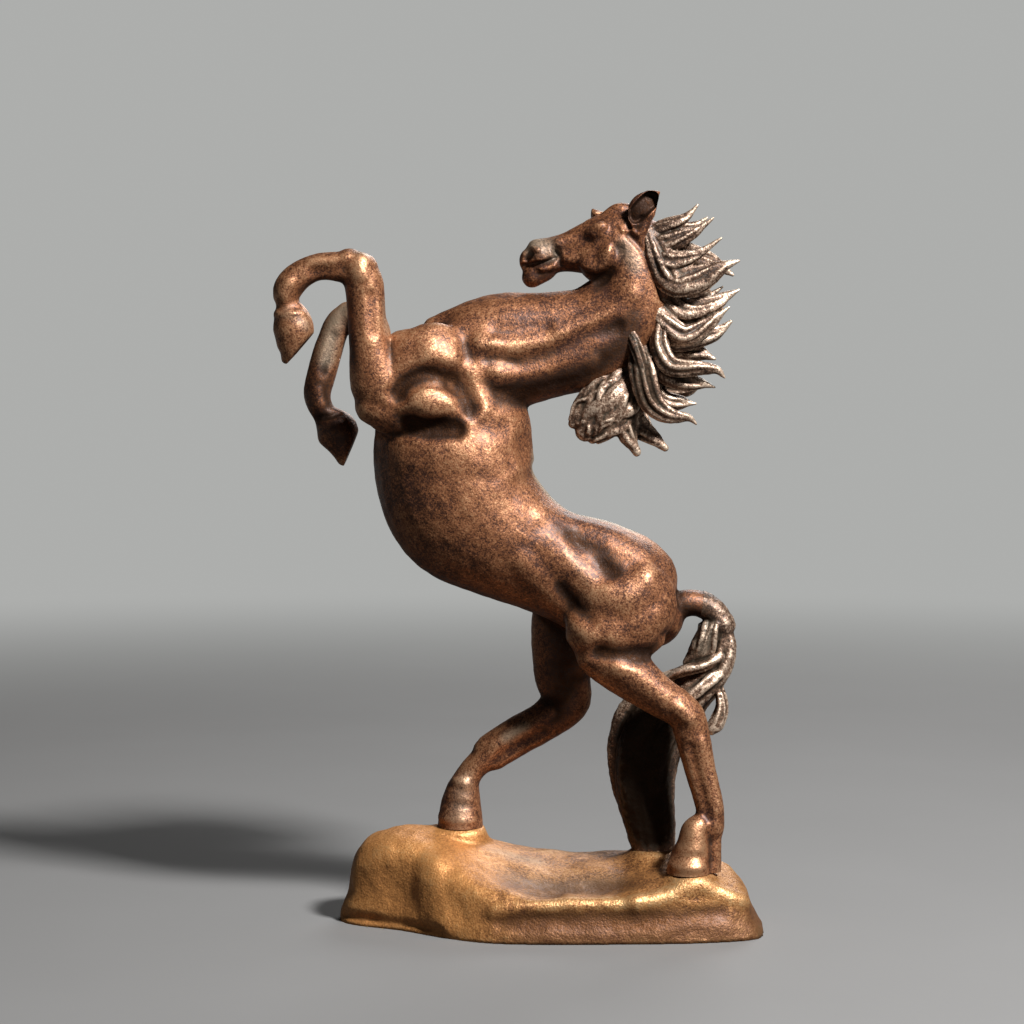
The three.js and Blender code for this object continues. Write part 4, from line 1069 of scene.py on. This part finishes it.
def bronze(
    name, brown, warm, rubbed, tint, tinge, wear=0.0, grain=1.0, relief=1.0, shaped=True, rock=False
):
    """Patinated bronze: dark in the hollows, red-brown on the flats and rubbed on what stands out, with the
    painted shade, painted highlights and painted sheen that the marks add. It is grainy all over, as the
    sand of the mould left it. On the rock the left part is painted lighter and more orange and the right
    half darker, most
    near the bottom: painted light and shade."""
    f = Finish(name, coat_roughness=0.4)
    ridge = f.attribute("ridge") if shaped else 0.5
    hollow = f.attribute("hollow") if shaped else 0.5
    cloud = f.noise(34, 2)
    patch = f.noise(150, 4, 0.62)
    fine = f.noise(950, 3, 0.65)
    grit = f.noise(2100, 2, 0.6)
    cells = {"Vector": f.place, "Scale": 1300.0}
    pores = f.node("ShaderNodeTexVoronoi", None, cells, output="Distance")
    # The relief of ridges and hollows, with the painted shade and painted highlights that the marks put
    # into it
    relief_and_painted_light = ((ridge - 0.5) * 0.5 + (hollow - 0.5) * 0.6) * relief
    grain_mix = (fine - 0.5) * 1.6 + (grit - 0.5) * 1.6
    mottle = (cloud - 0.5) * 0.9 + (patch - 0.5) * 1.1 + grain_mix
    warmth = f.step(relief_and_painted_light * 0.5 + mottle, -0.4 - wear, 0.36 - wear)
    # Rubbed wear with painted highlights on what stands out, and patina with painted shade in the hollows
    wear_and_painted_highlight = f.step(relief_and_painted_light * 0.8 + mottle * 0.8, 0.12 - wear, 0.7 - wear)
    patina_and_painted_shade = f.step(0 - relief_and_painted_light + mottle * 0.35, 0.12, 0.62)
    colour = f.blend(warmth, brown, warm)
    colour = f.blend(wear_and_painted_highlight * 0.75, colour, rubbed)
    if shaped:
        # A painted pale sheen where the light falls brightest
        painted_sheen = f.attribute("painted_sheen")
        painted_sheen = f.step(painted_sheen + mottle * 0.6 * painted_sheen, 0.1, 0.95)
        colour = f.blend(painted_sheen * 0.75, colour, PAINTED_SHEEN_COLOUR)
    colour = f.blend(f.step(patch * 0.6 + cloud * 0.5 - relief_and_painted_light * 0.7, 0.6, 0.85) * tinge, colour, tint)
    colour = f.blend(patina_and_painted_shade * 0.75, colour, SHADOW)
    if rock:
        # Painted light and shade: lighter and more orange on the left part, darker on the right half and
        # most near the bottom
        across, _, up = f.split(f.place)
        painted_shade_right = f.step(across, -0.02, 0.005)
        low = 1 - f.step(up + (patch - 0.5) * 0.01, 0.005, 0.014)
        colour = f.blend((1 - painted_shade_right) * 0.45, colour, PAINTED_LIGHT_ORANGE)
        colour = f.blend(painted_shade_right * (low * 0.6 + 0.2), colour, brown)
    height = fine * 0.55 + grit * 0.4 + pores * 0.3 + patch * 0.2
    return f.surface(
        base_color=colour,
        metallic=0.55 + wear_and_painted_highlight * 0.2 + patina_and_painted_shade * 0.4,
        roughness=0.52 - wear_and_painted_highlight * 0.08 + patina_and_painted_shade * 0.15 + (grit - 0.5) * 0.35,
        coat_weight=0.14 - patina_and_painted_shade * 0.14,
        normal=f.bump(height, 0.2 * grain, 0.9),
    )


def plain_metal(name, dull, bright, rough, ring):
    """Sawn rod and turned hardware, with fine rings and a light film."""
    f = Finish(name)
    film = f.noise(260, 4, 0.6)
    wave = {"wave_type": "BANDS", "bands_direction": "Z"}
    inputs = {"Vector": f.place, "Scale": ring, "Distortion": 1.5, "Detail": 2.0}
    rings = f.node("ShaderNodeTexWave", wave, inputs)
    colour = f.blend(f.step(film, 0.35, 0.65), dull, bright)
    return f.surface(
        base_color=colour,
        metallic=0.9 + film * 0.1,
        roughness=rough + (film - 0.5) * 0.2,
        normal=f.bump(rings * 0.5 + film, 0.04, 0.5),
    )


SHADOW = (0.02, 0.009, 0.005)
GREENISH = (0.10, 0.105, 0.075)
# The pale grey-green of a painted sheen
PAINTED_SHEEN_COLOUR = (0.31, 0.265, 0.195)
# The painted light on the rock's left part
PAINTED_LIGHT_ORANGE = (0.6, 0.26, 0.075)
HORSE = {"brown": (0.045, 0.015, 0.008), "warm": (0.25, 0.094, 0.036), "tint": GREENISH, "tinge": 0.12}
BRONZES = {
    "horse_bronze": bronze("horse_bronze", rubbed=(0.5, 0.28, 0.15), **HORSE),
    "hair_bronze": bronze(
        "hair_bronze", brown=(0.03, 0.017, 0.011), warm=(0.17, 0.093, 0.056), rubbed=(0.74, 0.58, 0.44),
        tint=GREENISH, tinge=0.3, relief=2.0,
    ),
    "rock_bronze": bronze(
        "rock_bronze", brown=(0.1, 0.038, 0.014), warm=(0.46, 0.205, 0.062), rubbed=(0.66, 0.42, 0.2),
        tint=(0.09, 0.055, 0.03), tinge=0.3, wear=0.06, grain=1.5, relief=0.6, rock=True,
    ),
}
PLUG_BRONZE = bronze("plug_bronze", rubbed=(0.46, 0.26, 0.14), shaped=False, **HORSE)
DOWEL_BRASS = plain_metal("dowel_brass", (0.36, 0.22, 0.08), (0.62, 0.43, 0.18), 0.38, 900)
STUD_STEEL = plain_metal("stud_steel", (0.3, 0.3, 0.31), (0.55, 0.55, 0.57), 0.34, 1400)

# Pieces

def cast(bm, node, slot):
    """Makes a finished piece that stands for a CAD node."""
    if node in PADS:
        stand(bm, PADS[node])
    piece = new_object(bm, node + "_cast")
    piece.data.materials.append(BRONZES[slot])
    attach(piece, "root")
    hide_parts(node)


cast(rock_skin(), "base_casting", "rock_bronze")
for node, bm in horse_castings().items():
    cast(bm, node, "horse_bronze")
for node, bm in tail_castings().items():
    cast(bm, node, "hair_bronze")
for node in MANE:
    cast(mane_casting(node), node, "hair_bronze")

# The plug and the hardware keep their CAD solids
FINISHES = {"horse_bronze": PLUG_BRONZE, "dowel_brass": DOWEL_BRASS, "stud_steel": STUD_STEEL}
for part in frame["record"]["subparts"]:
    if part["material_slot"] in FINISHES:
        materials = frame["nodes"][part["node"]].data.materials
        materials.clear()
        materials.append(FINISHES[part["material_slot"]])


# Stage

PALE = (0.42, 0.425, 0.415, 1)
BACKDROP_LIGHT = 0.07  # how much of the backdrop's light reaches the bronze
PHOTO_PIXELS = 1024
FOCAL_PIXELS = 2512
CAMERA_PLACE = (-0.00256, -0.8, 0.175)
CAMERA_PITCH = 3  # degrees down


def lamp(name, place, target, power, size):
    light = bpy.data.lights.new(name, "AREA")
    light.energy = power
    light.size = size
    obj = bpy.data.objects.new(name, light)
    obj.location = place
    obj.rotation_euler = (Vector(target) - Vector(place)).to_track_quat("-Z", "Y").to_euler()
    bpy.context.scene.collection.objects.link(obj)


def studio():
    scene = bpy.context.scene
    scene.view_settings.view_transform = "Standard"
    world = bpy.data.worlds.new("studio")
    world.use_nodes = True
    nodes, links = world.node_tree.nodes, world.node_tree.links
    paths = nodes.new("ShaderNodeLightPath")
    seen = nodes.new("ShaderNodeMapRange")
    seen.inputs["To Min"].default_value = BACKDROP_LIGHT
    links.new(paths.outputs["Is Camera Ray"], seen.inputs["Value"])
    nodes["Background"].inputs["Color"].default_value = PALE
    links.new(seen.outputs["Result"], nodes["Background"].inputs["Strength"])
    scene.world = world

    bm = bmesh.new()
    bmesh.ops.create_circle(bm, cap_ends=True, radius=3, segments=96)
    floor = new_object(bm, "floor")
    f = Finish("floor_paper", roughness=0.8)
    far = f.node("ShaderNodeVectorMath", {"operation": "LENGTH"}, {0: f.place}, output="Value")
    paper = f.blend(f.noise(9, 3), (0.14, 0.138, 0.135), (0.155, 0.153, 0.15))
    in_view = f.node("ShaderNodeLightPath", output="Is Camera Ray")
    f.surface(base_color=f.blend(in_view, (0.035, 0.032, 0.03), paper))
    glow = f.node("ShaderNodeEmission", None, {"Color": PALE, "Strength": 1.0})
    fade = f.step(far, 0.45, 1.3)
    mixed = f.node("ShaderNodeMixShader", None, {0: fade, 1: Field(f, f.shader.outputs[0]), 2: glow})
    f.tree.links.new(mixed.socket, f.tree.nodes["Material Output"].inputs["Surface"])
    floor.data.materials.append(f.material)

    middle = (0, 0, 0.12)
    lamp("key", (0.7, -0.77, 1.06), middle, 54, 0.22)
    lamp("fill", (-0.9, -0.9, 0.35), middle, 0.2, 0.9)
    lamp("rim", (0.3, 0.9, 0.75), middle, 5, 0.5)

    camera = bpy.data.cameras.new("camera")
    camera.sensor_width = 36
    camera.lens = FOCAL_PIXELS / PHOTO_PIXELS * 36
    camera.clip_start = 0.02
    obj = bpy.data.objects.new("camera", camera)
    obj.location = CAMERA_PLACE
    obj.rotation_euler = (math.radians(90 - CAMERA_PITCH), 0, 0)
    scene.collection.objects.link(obj)
    scene.camera = obj


studio()
